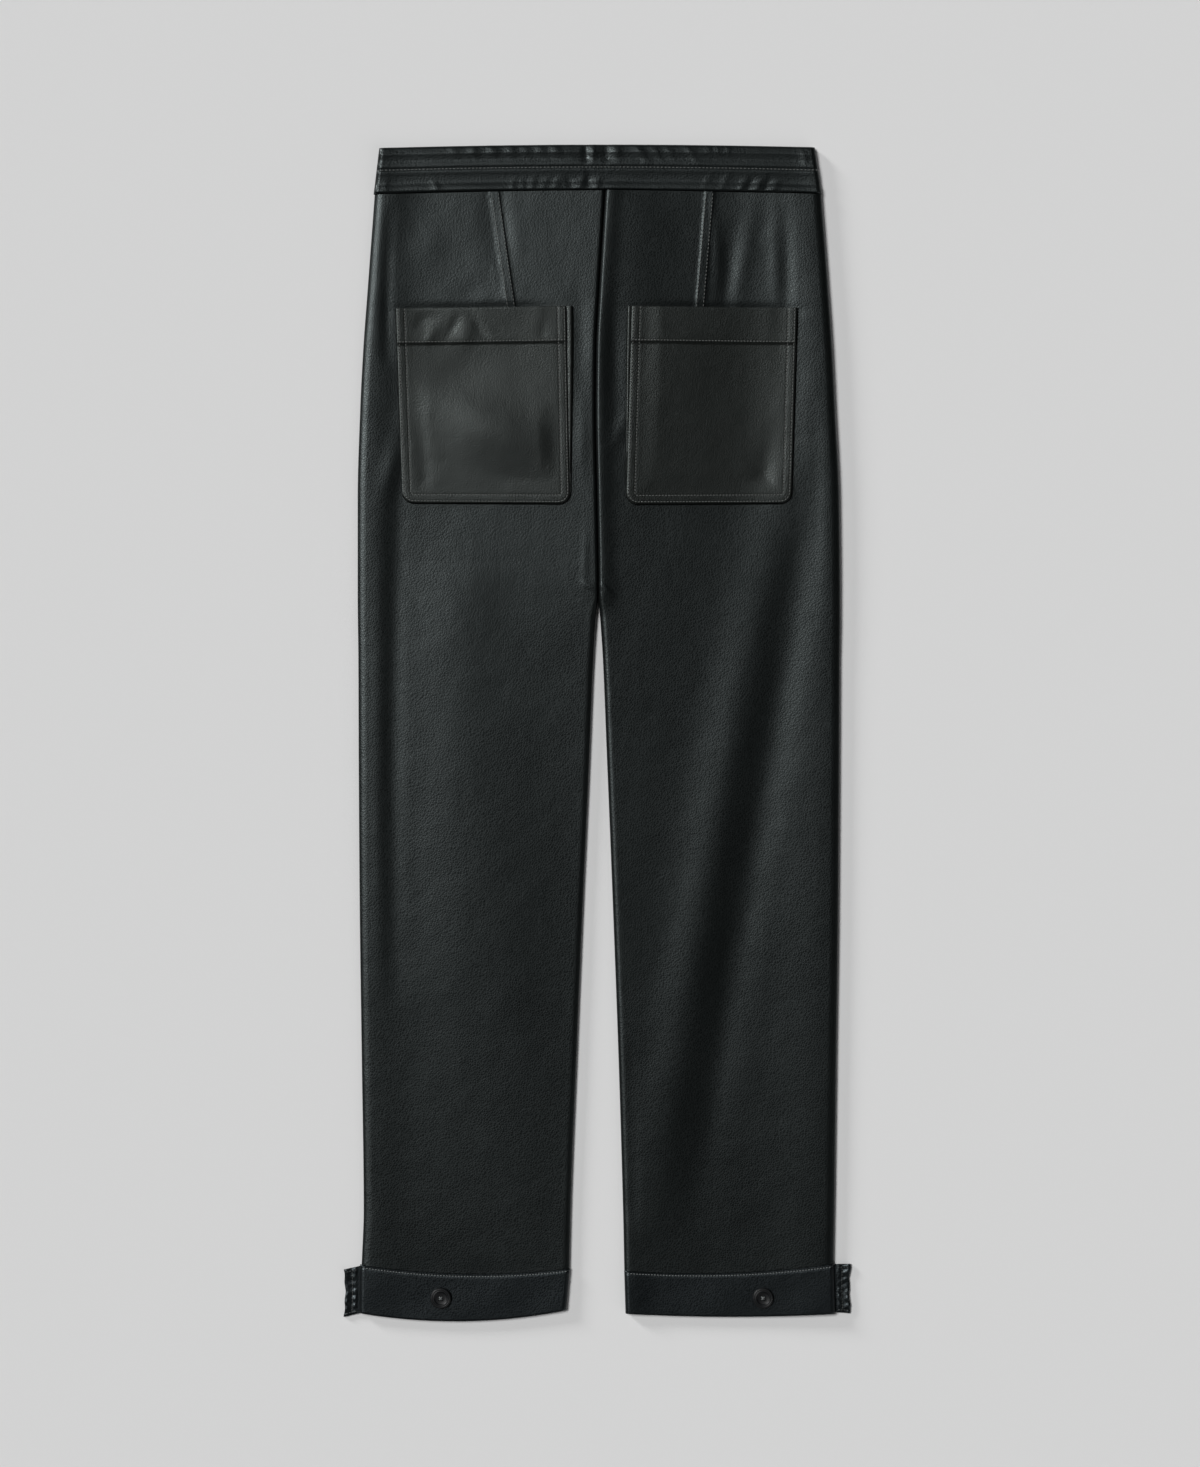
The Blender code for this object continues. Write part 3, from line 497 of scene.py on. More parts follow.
    def waist_seam_y(self, x: Array) -> Array:
        """y of the waistband's lower edge."""
        y, bow = self.waist_seam
        return bowed(x, *self.band_low, y, y, bow)

    def dart_line(self, side: Side, y: Array) -> Array:
        """x of the dart's middle, which stays where the dart ends below it."""
        top_x, top_y, low_x, low_y = self.darts[side]
        return top_x + (low_x - top_x) * (top_y - np.maximum(y, self.dart_end_y)) / (top_y - low_y)

    def height(self, side: Side, x: Array, y: Array, dart: bool = True) -> Array:
        """Height of the back's outer face between the rolls at its edges.

        Args:
            side: which half.
            x: places across.
            y: places along, before the waist's and cuff's curves.
            dart: whether the dart's strip is put in.

        Returns:
            z of the outer face.
        """
        from_outer = side.inward * (x - self.outer_edge(side, y)) - self.outer_roll_reach
        from_inner = side.inward * (self.inner_edge(side, y) - x) - self.inner_reach(y)
        plateau = self.read(self.heights, 3, y)
        outer_roll = self.read(self.heights, 1 if side is Side.LEFT else 2, y) - plateau
        inner_roll = self.read(self.heights, 4 if side is Side.LEFT else 5, y) - plateau
        z = plateau + outer_roll * bell(np.maximum(from_outer, 0) / self.sag(side))
        z = z + inner_roll * np.clip(1 - from_inner / self.read(self.heights, 6, y), 0, 1) ** self.slope_power
        between = step_up(from_outer / self.fold_margin) * step_up(from_inner / self.fold_margin)
        z = z + between * relief_of(self.folds, x, y)
        away = np.abs(x - self.dart_line(side, y))
        strip = 1 - step_up((away - self.dart_half) / (self.dart_foot - self.dart_half))
        if dart:
            z = z + self.dart_rise * strip * step_up((y - self.dart_end_y) / self.dart_fade)
        return np.maximum(z, self.lowest_face)


FORM = LaidForm()


@dataclass(frozen=True)
class CuffForm:
    """One cuff's edges.

    outer and inner are x of its sides, at the seam and at the hem. seam and hem are y at the outer
    side, y at the inner side, and the bow between them.
    """

    side: Side
    outer: tuple[float, float]
    inner: tuple[float, float]
    seam: tuple[float, float, float]
    hem: tuple[float, float, float]
    step: float = 0.8
    reach: float = 4.0
    inner_sag: float = 16.0

    def seam_y(self, x: Array) -> Array:
        """y of the line where the cuff meets the leg."""
        return bowed(x, self.outer[0], self.inner[0], *self.seam)

    def hem_y(self, x: Array) -> Array:
        """y of the hem."""
        return bowed(x, self.outer[1], self.inner[1], *self.hem)

    def y(self, x: Array, share: Array) -> Array:
        """y inside the cuff: share 0 at its seam, 1 at its hem."""
        top = self.seam_y(x) - FORM.seam / 2
        return top + (self.hem_y(x) - top) * share

    def edge(self, ends: tuple[float, float], share: Array) -> Array:
        """x of one of the cuff's sides at a share of its depth."""
        return ends[0] + (ends[1] - ends[0]) * share

    def face(self, x: Array, share: Array) -> Array:
        """Height of the outer face, which carries on the leg's own shape above it.

        Args:
            x: places across.
            share: places down the cuff, 0 to 1.

        Returns:
            z of the outer face.
        """
        way = self.side.inward
        from_outer = np.maximum(way * (x - self.edge(self.outer, share)) - self.reach, 0)
        from_inner = np.maximum(way * (self.edge(self.inner, share) - x) - self.reach, 0)
        plateau = 2 * FORM.cuff_cloth + FORM.seam + self.step
        low = FORM.heights[-1]
        outer_roll, inner_roll = (low[1], low[4]) if self.side is Side.LEFT else (low[2], low[5])
        outer_rise, inner_rise = outer_roll + self.step - plateau, inner_roll + self.step - plateau
        z = plateau + outer_rise * bell(from_outer / FORM.sag(self.side))
        return z + inner_rise * bell(from_inner / self.inner_sag)


CUFFS = {
    Side.LEFT: CuffForm(
        Side.LEFT,
        outer=(-208.6, -209.2),
        inner=(-24.0, -27.2),
        seam=(-467.3, -470.8, -6.4),
        hem=(-510.0, -507.4, -8.4),
    ),
    Side.RIGHT: CuffForm(
        Side.RIGHT,
        outer=(208.1, 209.4),
        inner=(23.6, 24.8),
        seam=(-466.4, -472.6, -5.2),
        hem=(-510.4, -510.4, -2.8),
    ),
}


# ---------------------------------------------------------------- finishes


class Nodes:
    """Adds nodes to a tree and links them, with short calls."""

    def __init__(self, tree: bpy.types.NodeTree) -> None:
        """Starts on an empty or existing node tree."""
        self.tree = tree

    def add(self, kind: str, **values: object) -> bpy.types.Node:
        """Adds a node.

        Args:
            kind: the node's type, such as ShaderNodeTexNoise.
            values: properties by name, and inputs by their name with spaces as underscores.

        Returns:
            The node.
        """
        node = self.tree.nodes.new(kind)
        for key, value in values.items():
            if hasattr(node, key):
                setattr(node, key, value)
                continue
            socket = node.inputs[int(key[1:])] if key[1:].isdigit() else node.inputs[key.replace("_", " ")]
            if isinstance(value, bpy.types.NodeSocket):
                self.tree.links.new(value, socket)
            else:
                socket.default_value = value
        return node

    def math(self, operation: str, a: object, b: object = 0.0) -> bpy.types.NodeSocket:
        """The result of a Math node with two inputs, sockets or numbers."""
        return self.add("ShaderNodeMath", operation=operation, i0=a, i1=b).outputs[0]


def new_group(
    name: str, inputs: dict[str, float], outputs: Sequence[str]
) -> tuple[bpy.types.NodeTree, Nodes]:
    """A shader node group with float inputs, a vector input and float outputs.

    Args:
        name: the group's name.
        inputs: its float inputs and their default values.
        outputs: its float outputs.

    Returns:
        The group and a helper on its tree.
    """
    group = bpy.data.node_groups.new(name, "ShaderNodeTree")
    group.interface.new_socket("Vector", in_out="INPUT", socket_type="NodeSocketVector")
    for key, value in inputs.items():
        group.interface.new_socket(key, in_out="INPUT", socket_type="NodeSocketFloat").default_value = value
    for key in outputs:
        group.interface.new_socket(key, in_out="OUTPUT", socket_type="NodeSocketFloat")
    return group, Nodes(group)


def pebble_group() -> bpy.types.NodeTree:
    """The embossed pebble grain: rounded cells of uneven size with fine pits between them.

    Returns:
        The group.
    """
    group, nodes = new_group("pebble_grain", {"Cells": 700.0, "Unevenness": 0.5}, ("Height", "Pores"))
    source = nodes.add("NodeGroupInput")
    vector, cells = source.outputs["Vector"], source.outputs["Cells"]
    # A slow noise shifts the cells, so that they don't line up.
    slow, quick, shift_m = 0.35, 2.4, 0.0011
    warp_scale, fine_scale = nodes.math("MULTIPLY", cells, slow), nodes.math("MULTIPLY", cells, quick)
    warp = nodes.add("ShaderNodeTexNoise", Vector=vector, Scale=warp_scale, Detail=1.0)
    shift = nodes.add("ShaderNodeVectorMath", operation="SCALE", i0=warp.outputs["Color"])
    shift.inputs["Scale"].default_value = shift_m
    moved = nodes.add("ShaderNodeVectorMath", operation="ADD", i0=vector, i1=shift.outputs[0]).outputs[0]
    cell = nodes.add("ShaderNodeTexVoronoi", feature="SMOOTH_F1", Vector=moved, Scale=cells, Smoothness=0.6)
    edge = nodes.add("ShaderNodeTexVoronoi", feature="DISTANCE_TO_EDGE", Vector=moved, Scale=cells)
    fine = nodes.add("ShaderNodeTexNoise", Vector=vector, Scale=fine_scale, Detail=3.0)
    round_top = nodes.math("SUBTRACT", 0.75, cell.outputs["Distance"])
    valley = nodes.math("MINIMUM", nodes.math("MULTIPLY", edge.outputs["Distance"], 3.0), 0.5)
    body = nodes.math("ADD", round_top, valley)
    centred = nodes.math("SUBTRACT", fine.outputs["Fac"], 0.5)
    rough = nodes.math("MULTIPLY", centred, source.outputs["Unevenness"])
    out = nodes.add("NodeGroupOutput")
    nodes.tree.links.new(nodes.math("ADD", body, rough), out.inputs["Height"])
    pores = nodes.math("SUBTRACT", 1.0, nodes.math("MULTIPLY", valley, 2.0))
    nodes.tree.links.new(pores, out.inputs["Pores"])
    return group


def handling_group() -> bpy.types.NodeTree:
    """Slow changes over the cloth from handling: cloudy sheen, and soft dents.

    Returns:
        The group.
    """
    group, nodes = new_group("handling", {"Spread": 9.0}, ("Cloud", "Dents"))
    source = nodes.add("NodeGroupInput")
    vector, spread = source.outputs["Vector"], source.outputs["Spread"]
    cloud = nodes.add("ShaderNodeTexNoise", Vector=vector, Scale=spread, Detail=3.0, Roughness=0.55)
    closer = nodes.math("MULTIPLY", spread, 3.2)
    dents = nodes.add("ShaderNodeTexNoise", Vector=vector, Scale=closer, Detail=2.0)
    out = nodes.add("NodeGroupOutput")
    nodes.tree.links.new(cloud.outputs["Fac"], out.inputs["Cloud"])
    nodes.tree.links.new(dents.outputs["Fac"], out.inputs["Dents"])
    return group


def knit_group() -> bpy.types.NodeTree:
    """The knitted backing: rows of small loops, as two crossed waves.

    Returns:
        The group.
    """
    group, nodes = new_group("knit_backing", {"Loops": 900.0}, ("Height",))
    source = nodes.add("NodeGroupInput")
    vector, loops = source.outputs["Vector"], source.outputs["Loops"]
    waves = []
    for direction, share in (("X", 0.3), ("Y", 0.4)):
        wave = nodes.add("ShaderNodeTexWave", wave_type="BANDS", bands_direction=direction, Vector=vector)
        wave.inputs["Distortion"].default_value = 1.2
        nodes.tree.links.new(nodes.math("MULTIPLY", loops, share), wave.inputs["Scale"])
        waves.append(wave.outputs["Fac"])
    out = nodes.add("NodeGroupOutput")
    nodes.tree.links.new(nodes.math("MULTIPLY", *waves), out.inputs["Height"])
    return group


class Groups:
    """The shared node groups, each built once."""

    _made: dict[str, bpy.types.NodeTree] = {}

    @classmethod
    def get(cls, build: Callable[[], bpy.types.NodeTree]) -> bpy.types.NodeTree:
        """The group that a function builds, built on its first use."""
        if build.__name__ not in cls._made:
            cls._made[build.__name__] = build()
        return cls._made[build.__name__]


def blank_material(name: str) -> tuple[bpy.types.Material, Nodes, bpy.types.Node]:
    """A new material with nodes.

    Args:
        name: the material's name.

    Returns:
        The material, a helper on its tree, and its Principled shader.
    """
    made = bpy.data.materials.new(name)
    made.use_nodes = True
    return made, Nodes(made.node_tree), made.node_tree.nodes["Principled BSDF"]


def group_node(nodes: Nodes, build: Callable[[], bpy.types.NodeTree], **values: object) -> bpy.types.Node:
    """A node that holds one of the shared groups, with its inputs set.

    Args:
        nodes: the helper on the material's tree.
        build: the function that builds the group.
        values: its inputs by name, as sockets or numbers.

    Returns:
        The node.
    """
    node = nodes.add("ShaderNodeGroup")
    node.node_tree = Groups.get(build)
    for key, value in values.items():
        if isinstance(value, bpy.types.NodeSocket):
            nodes.tree.links.new(value, node.inputs[key])
        else:
            node.inputs[key].default_value = value
    return node


@dataclass(frozen=True)
class FauxLeather:
    """Black faux leather: an embossed pebble grain under a satin coat."""

    name: str
    colour: tuple[float, float, float] = (0.001, 0.0013, 0.0013)
    worn_colour: tuple[float, float, float] = (0.002, 0.0026, 0.0025)
    roughness: float = 0.30
    roughness_spread: float = 0.07
    cells: float = 520.0
    pore_roughness: float = 0.16
    gloss: float = 0.34
    gloss_tint: tuple[float, float, float] = (0.87, 0.99, 0.99)
    grain_depth_mm: float = 0.06
    dent_depth_mm: float = 0.5

    def build(self) -> bpy.types.Material:
        """The material, with its grain and cloudiness from the shared groups.

        Returns:
            The material.
        """
        made, nodes, shader = blank_material(self.name)
        place = nodes.add("ShaderNodeTexCoord").outputs["Object"]
        grain = group_node(nodes, pebble_group, Vector=place, Cells=self.cells)
        handling = group_node(nodes, handling_group, Vector=place)
        tint = nodes.add("ShaderNodeMix", data_type="RGBA")
        tint.inputs["A"].default_value = (*self.colour, 1)
        tint.inputs["B"].default_value = (*self.worn_colour, 1)
        nodes.tree.links.new(handling.outputs["Cloud"], tint.inputs["Factor"])
        nodes.tree.links.new(tint.outputs["Result"], shader.inputs["Base Color"])
        centred = nodes.math("SUBTRACT", handling.outputs["Cloud"], 0.5)
        cloudy = nodes.math("MULTIPLY", centred, self.roughness_spread)
        pores = nodes.math("MULTIPLY", grain.outputs["Pores"], self.pore_roughness)
        rough = nodes.math("ADD", nodes.math("ADD", cloudy, pores), self.roughness)
        nodes.tree.links.new(rough, shader.inputs["Roughness"])
        dent_depth, grain_depth = self.dent_depth_mm * MM, self.grain_depth_mm * MM
        dents = nodes.add("ShaderNodeBump", Distance=dent_depth, Height=handling.outputs["Dents"])
        bump = nodes.add("ShaderNodeBump", Distance=grain_depth, Height=grain.outputs["Height"])
        nodes.tree.links.new(dents.outputs["Normal"], bump.inputs["Normal"])
        nodes.tree.links.new(bump.outputs["Normal"], shader.inputs["Normal"])
        shader.inputs["Specular IOR Level"].default_value = self.gloss
        shader.inputs["Specular Tint"].default_value = (*self.gloss_tint, 1)
        return made


@dataclass(frozen=True)
class KnitBacking:
    """The black knitted fabric that the faux leather is coated onto."""

    name: str = "knit_backing"
    colour: tuple[float, float, float] = (0.02, 0.021, 0.022)
    roughness: float = 0.9
    sheen: float = 0.15
    loop_depth_mm: float = 0.2

    def build(self) -> bpy.types.Material:
        """The material, matt with a fine knit.

        Returns:
            The material.
        """
        made, nodes, shader = blank_material(self.name)
        place = nodes.add("ShaderNodeTexCoord").outputs["Object"]
        knit = group_node(nodes, knit_group, Vector=place)
        bump = nodes.add("ShaderNodeBump", Distance=self.loop_depth_mm * MM, Height=knit.outputs["Height"])
        nodes.tree.links.new(bump.outputs["Normal"], shader.inputs["Normal"])
        shader.inputs["Base Color"].default_value = (*self.colour, 1)
        shader.inputs["Roughness"].default_value = self.roughness
        shader.inputs["Sheen Weight"].default_value = self.sheen
        return made


@dataclass(frozen=True)
class Thread:
    """Twisted sewing thread."""

    name: str
    colour: tuple[float, float, float]
    roughness: float = 0.55
    twists: float = 900.0
    twist_depth_mm: float = 0.08

    def build(self) -> bpy.types.Material:
        """The material, with its twist as a fine slanting wave.

        Returns:
            The material.
        """
        made, nodes, shader = blank_material(self.name)
        place = nodes.add("ShaderNodeTexCoord").outputs["Object"]
        twist = nodes.add("ShaderNodeTexWave", wave_type="BANDS", bands_direction="DIAGONAL", Vector=place)
        twist.inputs["Scale"].default_value = self.twists
        bump = nodes.add("ShaderNodeBump", Distance=self.twist_depth_mm * MM, Height=twist.outputs["Fac"])
        nodes.tree.links.new(bump.outputs["Normal"], shader.inputs["Normal"])
        shader.inputs["Base Color"].default_value = (*self.colour, 1)
        shader.inputs["Roughness"].default_value = self.roughness
        return made


@dataclass(frozen=True)
class Resin:
    """Black resin with a satin polish, rubbed by use."""

    name: str = "button_resin"
    colour: tuple[float, float, float] = (0.004, 0.0045, 0.005)
    roughness: float = 0.46
    rubbed_spread: float = 0.14
    rub_depth_mm: float = 0.01
    gloss: float = 0.22

    def build(self) -> bpy.types.Material:
        """The material, with fine rubbed marks in its gloss.

        Returns:
            The material.
        """
        made, nodes, shader = blank_material(self.name)
        place = nodes.add("ShaderNodeTexCoord").outputs["Object"]
        rubbed = nodes.add("ShaderNodeTexNoise", Vector=place, Scale=600.0, Detail=4.0)
        marks = nodes.math("MULTIPLY", rubbed.outputs["Fac"], self.rubbed_spread)
        rough = nodes.math("ADD", marks, self.roughness - self.rubbed_spread / 2)
        nodes.tree.links.new(rough, shader.inputs["Roughness"])
        bump = nodes.add("ShaderNodeBump", Distance=self.rub_depth_mm * MM, Height=rubbed.outputs["Fac"])
        nodes.tree.links.new(bump.outputs["Normal"], shader.inputs["Normal"])
        shader.inputs["Base Color"].default_value = (*self.colour, 1)
        shader.inputs["Specular IOR Level"].default_value = self.gloss
        return made


@dataclass
class Wardrobe:
    """Every finish of the garment, built once."""

    leather: bpy.types.Material = field(init=False)
    pocket: bpy.types.Material = field(init=False)
    band: bpy.types.Material = field(init=False)
    cuff: bpy.types.Material = field(init=False)
    backing: bpy.types.Material = field(init=False)
    # The dark thread's colour is partly its own dark tone and partly painted highlight.
    dark_thread_with_painted_highlight: bpy.types.Material = field(init=False)
    grey_thread: bpy.types.Material = field(init=False)
    resin: bpy.types.Material = field(init=False)

    def __post_init__(self) -> None:
        """Builds the materials."""
        self.leather = FauxLeather("faux_leather").build()
        self.pocket = FauxLeather(
            "pocket_leather",
            colour=(0.0015, 0.0017, 0.0014),
            worn_colour=(0.0025, 0.0028, 0.0023),
            roughness=0.29,
            cells=640.0,
            gloss_tint=(0.90, 1.0, 0.97),
        ).build()
        self.band = FauxLeather("band_leather", colour=(0.001, 0.0014, 0.0016), dent_depth_mm=0.35).build()
        self.cuff = FauxLeather(
            "cuff_leather",
            colour=(0.001, 0.0014, 0.0016),
            worn_colour=(0.002, 0.0026, 0.003),
            gloss_tint=(0.82, 0.95, 1.0),
        ).build()
        self.backing = KnitBacking().build()
        # Painted highlight: this thread is black, but its colour is set to a lighter grey so that its
        # stitches show as light dots. The colour is partly the thread's own dark tone and partly painted
        # highlight.
        self.dark_thread_with_painted_highlight = Thread("dark_thread_with_painted_highlight", (0.10, 0.105, 0.10)).build()
        self.grey_thread = Thread("grey_thread", (0.14, 0.15, 0.15)).build()
        self.resin = Resin().build()


# ---------------------------------------------------------------- stitches


@dataclass
class Stitching:
    """Rows of lockstitch: each stitch is a small rounded grain of thread with its ends drawn in."""

    pitch: float = 3.3
    length: float = 2.2
    thick: float = 0.7
    sides: int = 6
    profile: tuple[tuple[float, float, float], ...] = (
        # along, width, height above the cloth
        (-0.5, 0.15, -0.5),
        (-0.36, 0.8, 0.1),
        (0.0, 1.0, 0.42),
        (0.36, 0.8, 0.1),
        (0.5, 0.15, -0.5),
    )
    reach_ahead: float = 0.6
    tilt_step: float = 1e-3
    grains: list[Array] = field(default_factory=list)

    def row(self, place: Place, a: Array, b: Array) -> Stitching:
        """Adds a row of stitches along a line in a surface's own two parameters.

        Args:
            place: the surface, from two parameters to a point.
            a: the line's first parameter.
            b: its second parameter.

        Returns:
            This object, so that rows can be chained.
        """
        line = place(a, b)
        along = np.concatenate([[0], np.cumsum(np.linalg.norm(np.diff(line, axis=0), axis=1))])
        count = max(int(along[-1] / self.pitch), 1)
        at = (np.arange(count) + 0.5) * along[-1] / count
        steps = (-self.reach_ahead, 0, self.reach_ahead)
        ends = [place(np.interp(at + d, along, a), np.interp(at + d, along, b)) for d in steps]
        ahead = unit(ends[2] - ends[0])
        a0, b0 = np.interp(at, along, a), np.interp(at, along, b)
        nudge = (np.ptp(a) + np.ptp(b)) * self.tilt_step
        tilt = np.cross(place(a0 + nudge, b0) - ends[1], place(a0, b0 + nudge) - ends[1])
        up = unit(tilt * np.sign(tilt[:, 2:3]))
        side = unit(np.cross(up, ahead))
        ring = np.arange(self.sides) * 2 * math.pi / self.sides
        rings = np.array(self.profile)
        centre = ends[1][:, None] + ahead[:, None] * (rings[:, 0] * self.length)[:, None]
        centre = centre + up[:, None] * (rings[:, 2] * self.thick)[:, None]
        spoke = side[:, None, None] * np.cos(ring)[:, None] + up[:, None, None] * np.sin(ring)[:, None]
        self.grains.append(centre[:, :, None] + spoke * (rings[:, 1] * self.thick / 2)[:, None, None])
        return self

    def build(self, name: str, finish: bpy.types.Material) -> bpy.types.Object:
        """One mesh of all the rows.

        Args:
            name: the piece's name.
            finish: the thread's material.

        Returns:
            The piece.
        """
        grains = np.concatenate(self.grains)
        stitches, rings, sides = grains.shape[:3]
        made = link_mesh(name, grains.reshape(-1, 3), strand_quads(rings, sides, stitches))
        made.data.materials.append(finish)
        return made


# ---------------------------------------------------------------- pieces


def wear(piece: bpy.types.Object, slot: str, *nodes: str) -> bpy.types.Object:
    """Fastens a piece to the body, hides the solids it stands for, and logs it.

    Args:
        piece: the finished piece.
        slot: not used.
        nodes: the solids that it replaces.

    Returns:
        The piece.
    """
    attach(piece, BODY)
    if nodes:
        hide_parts(*nodes)
    LOG.info("%s: %d faces", piece.name, len(piece.data.polygons))
    return piece


@dataclass
class BackLeg:
    """A back leg panel, from the waist seam to the cuff, rolled round its two folds."""

    side: Side
    seat_rows: int = 230
    leg_rows: int = 130
    outer_roll_steps: int = 12
    inner_roll_steps: int = 12
    splits: tuple[int, ...] = (14, 22, 4, 8, 4, 22, 14)
    seat_below_crotch: float = 30.0
    dart_stitch_in: float = 0.2
    foot_spread: float = 16.0
    half_spread: float = 2.0
    welt_rise: float = 1.2
    welt_middle: float = 3.4
    welt_width: float = 2.0
    welt_run_out: float = 9.0
    ripples: dict[Side, tuple[Fold | Ripple, ...]] = field(
        default_factory=lambda: {
            Side.LEFT: (
                # beside the centre seam, from the waist down to the crotch
                Ripple(-15, 348, 90, 40, 8, -0.5),
                Ripple(-13, 262, 90, 30, 5, 0.3),
                Ripple(-11, 152, 88, 24, 3, 0.25),
                Ripple(-7, 129, -32, 7, 1.8, 0.7),
                # the dart lies in a shallow trough
                Ripple(-89, 446, 98, 36, 12, -0.7),
                Ripple(-88, 404, 98, 9, 2.5, 0.3),
                Ripple(-84, 384, 98, 9, 3, 0.35),
                Ripple(-72, 440, 100, 24, 7, 0.2),
                # the dip before the pocket's mouth
                Ripple(-136, 372.6, 0.6, 36, 4.5, -1.0),
                Ripple(-78, 373.4, 0.6, 36, 4.5, -1.0),
                # the hip, and beside the pocket's lower corner
                Ripple(-112, 388, 30, 14, 9, -0.25),
                Ripple(-150, 430, 75, 30, 16, 0.5),
                Ripple(-180, 236, 80, 26, 8, 1.1),
                # the outseam's side: a crest beside the fold, and a trough inside it
                Fold(-190, 268, -191, 40, -192, -240, 9, 0.5),
                # the thigh
                Ripple(-120, 110, 80, 60, 30, 0.6),
                Fold(-126, 150, -122, -150, -118, -466, 58, 1.6),
                Fold(-76, 110, -74, -150, -70, -466, 42, 1.2),
            ),
            Side.RIGHT: (
                # beside the centre seam, towards the pocket
                Ripple(15, 330, 90, 52, 8, -0.8),
                Ripple(21, 268, 62, 20, 6, 0.5),
                Ripple(8, 126, -42, 7, 1.8, 0.7),
                # the dip before the pocket's mouth
                Ripple(136, 372.4, -0.6, 36, 4.5, -1.0),
                Ripple(78, 373.2, -0.6, 36, 4.5, -1.0),
                Ripple(36, 452, 130, 30, 14, 0.3),
                Ripple(26, 420, 90, 70, 34, 1.5),
                # from the dart to the hip
                Ripple(104.5, 430, 94, 45, 3.4, 0.45),
                Ripple(114, 398, 84, 42, 7, -0.9),
                Ripple(131, 425, 80, 42, 7, 0.5),
                Ripple(157, 415, 92, 42, 5.5, 0.45),
                Ripple(166, 400, 90, 50, 6, -0.6),
            ),
        }
    )

    def warp(self, x: Array, y: Array) -> Array:
        """y after the curves of the waist seam and the cuff seam are put in."""
        near_waist = step_up(1 - (FORM.waist_y - y) / FORM.curve_fade)
        near_cuff = step_up(1 - (y - FORM.cuff_y) / FORM.curve_fade)
        moved = y + near_waist * (FORM.waist_seam_y(x) - FORM.seam / 2 - FORM.waist_y)
        return moved + near_cuff * (CUFFS[self.side].seam_y(x) + FORM.seam / 2 - FORM.cuff_y)

    def face(self, x: Array, y: Array) -> Array:
        """Height of the outer face with its small folds, before the curves are put in.

        Args:
            x: places across.
            y: places along.

        Returns:
            z of the outer face.
        """
        z = FORM.height(self.side, x, y) + relief_of(self.ripples[self.side], x, y)
        if self.side is Side.RIGHT:
            from_crest = self.side.inward * (FORM.inner_edge(self.side, y) - x) - self.welt_middle
            width = np.where(from_crest < 0, self.welt_width, self.welt_run_out)
            z = z + self.welt_rise * bell(from_crest / width) * (1 - FORM.leg_share(y))
        return np.maximum(z, FORM.lowest_face)

    def place(self, x: Array, y: Array) -> Array:
        """A point of the outer face, between the rolls."""
        x, y = np.broadcast_arrays(x, y)
        return np.stack([x, self.warp(x, y), self.face(x, y)], axis=-1)

    def columns(self, y: Array) -> Array:
        """x of the columns between the rolls, which follow the pocket's sides and the dart.

        Args:
            y: places along.

        Returns:
            x of the columns, with a row for each y.
        """
        outer, inner = FORM.outer_edge(self.side, y), FORM.inner_edge(self.side, y)
        width = np.abs(inner - outer)
        spread = FORM.read(FORM.lines, 3, y)
        dart = np.abs(FORM.dart_line(self.side, y) - outer) * (1 - spread) + width / 2 * spread
        foot = FORM.dart_foot + self.foot_spread * spread
        half = FORM.dart_half + self.half_spread * spread
        start, end = np.full(len(y), FORM.outer_roll_reach), width - FORM.inner_reach(y)
        pockets = [width * FORM.read(FORM.lines, column, y) for column in (1, 2)]
        stops = (start, pockets[0], dart - foot, dart - half, dart + half, dart + foot, pockets[1], end)
        return outer[:, None] + self.side.inward * spaced(stops, self.splits)

    def build(self, finishes: Wardrobe) -> bpy.types.Object:
        """The panel: its outer grid, and its inner grid a cloth's thickness inside it.

        Args:
            finishes: the garment's materials.

        Returns:
            The piece.
        """
        way = self.side.inward
        seat_end = FORM.crotch_y - self.seat_below_crotch
        seat = np.linspace(FORM.waist_y, seat_end, self.seat_rows)
        y = np.concatenate([seat, np.linspace(seat_end, FORM.cuff_y, self.leg_rows + 1)[1:]])
        top_x = self.columns(y)
        top_z = self.face(top_x, y[:, None])
        plain_z = np.minimum(FORM.height(self.side, top_x, y[:, None]), top_z)
        out_angles = np.tile(np.linspace(*ROLL_ANGLES, self.outer_roll_steps), (len(y), 1))
        reach = np.full(len(y), FORM.outer_roll_reach)
        share = FORM.leg_share(y)
        drop = FORM.seam_valley + (top_z[:, -1] / 2 - FORM.seam_valley) * share
        steps = (np.arange(self.inner_roll_steps) + 1) / self.inner_roll_steps
        in_angles = 90 - (90 + 90 * share[:, None]) * steps
        rolls = (
            roll(FORM.outer_edge(self.side, y), way, reach, top_z[:, 0], top_z[:, 0] / 2, out_angles),
            roll(FORM.inner_edge(self.side, y), -way, FORM.inner_reach(y), top_z[:, -1], drop, in_angles),
        )
        x = np.concatenate([rolls[0][0], top_x, rolls[1][0]], axis=1)
        z = np.concatenate([rolls[0][1], top_z, rolls[1][1]], axis=1)
        plain = np.concatenate([rolls[0][1], plain_z, rolls[1][1]], axis=1)
        warped = self.warp(x, np.broadcast_to(y[:, None], x.shape))
        outer = np.stack([x, warped, z], axis=-1)
        smooth_face = np.stack([x, warped, plain], axis=-1)
        normals = grid_normals(smooth_face)
        normals[:, : self.outer_roll_steps] = rolls[0][2]
        normals[:, -self.inner_roll_steps :] = rolls[1][2]
        normals[[0, -1], :, 1] = 0
        inner = smooth_face - FORM.cloth * unit(normals)
        name = f"back_leg_{self.side.value}"
        made = cloth_wall(name, outer, inner, (finishes.leather, finishes.backing))
        return wear(made, "faux_leather", f"back_panel_{self.side.value}")

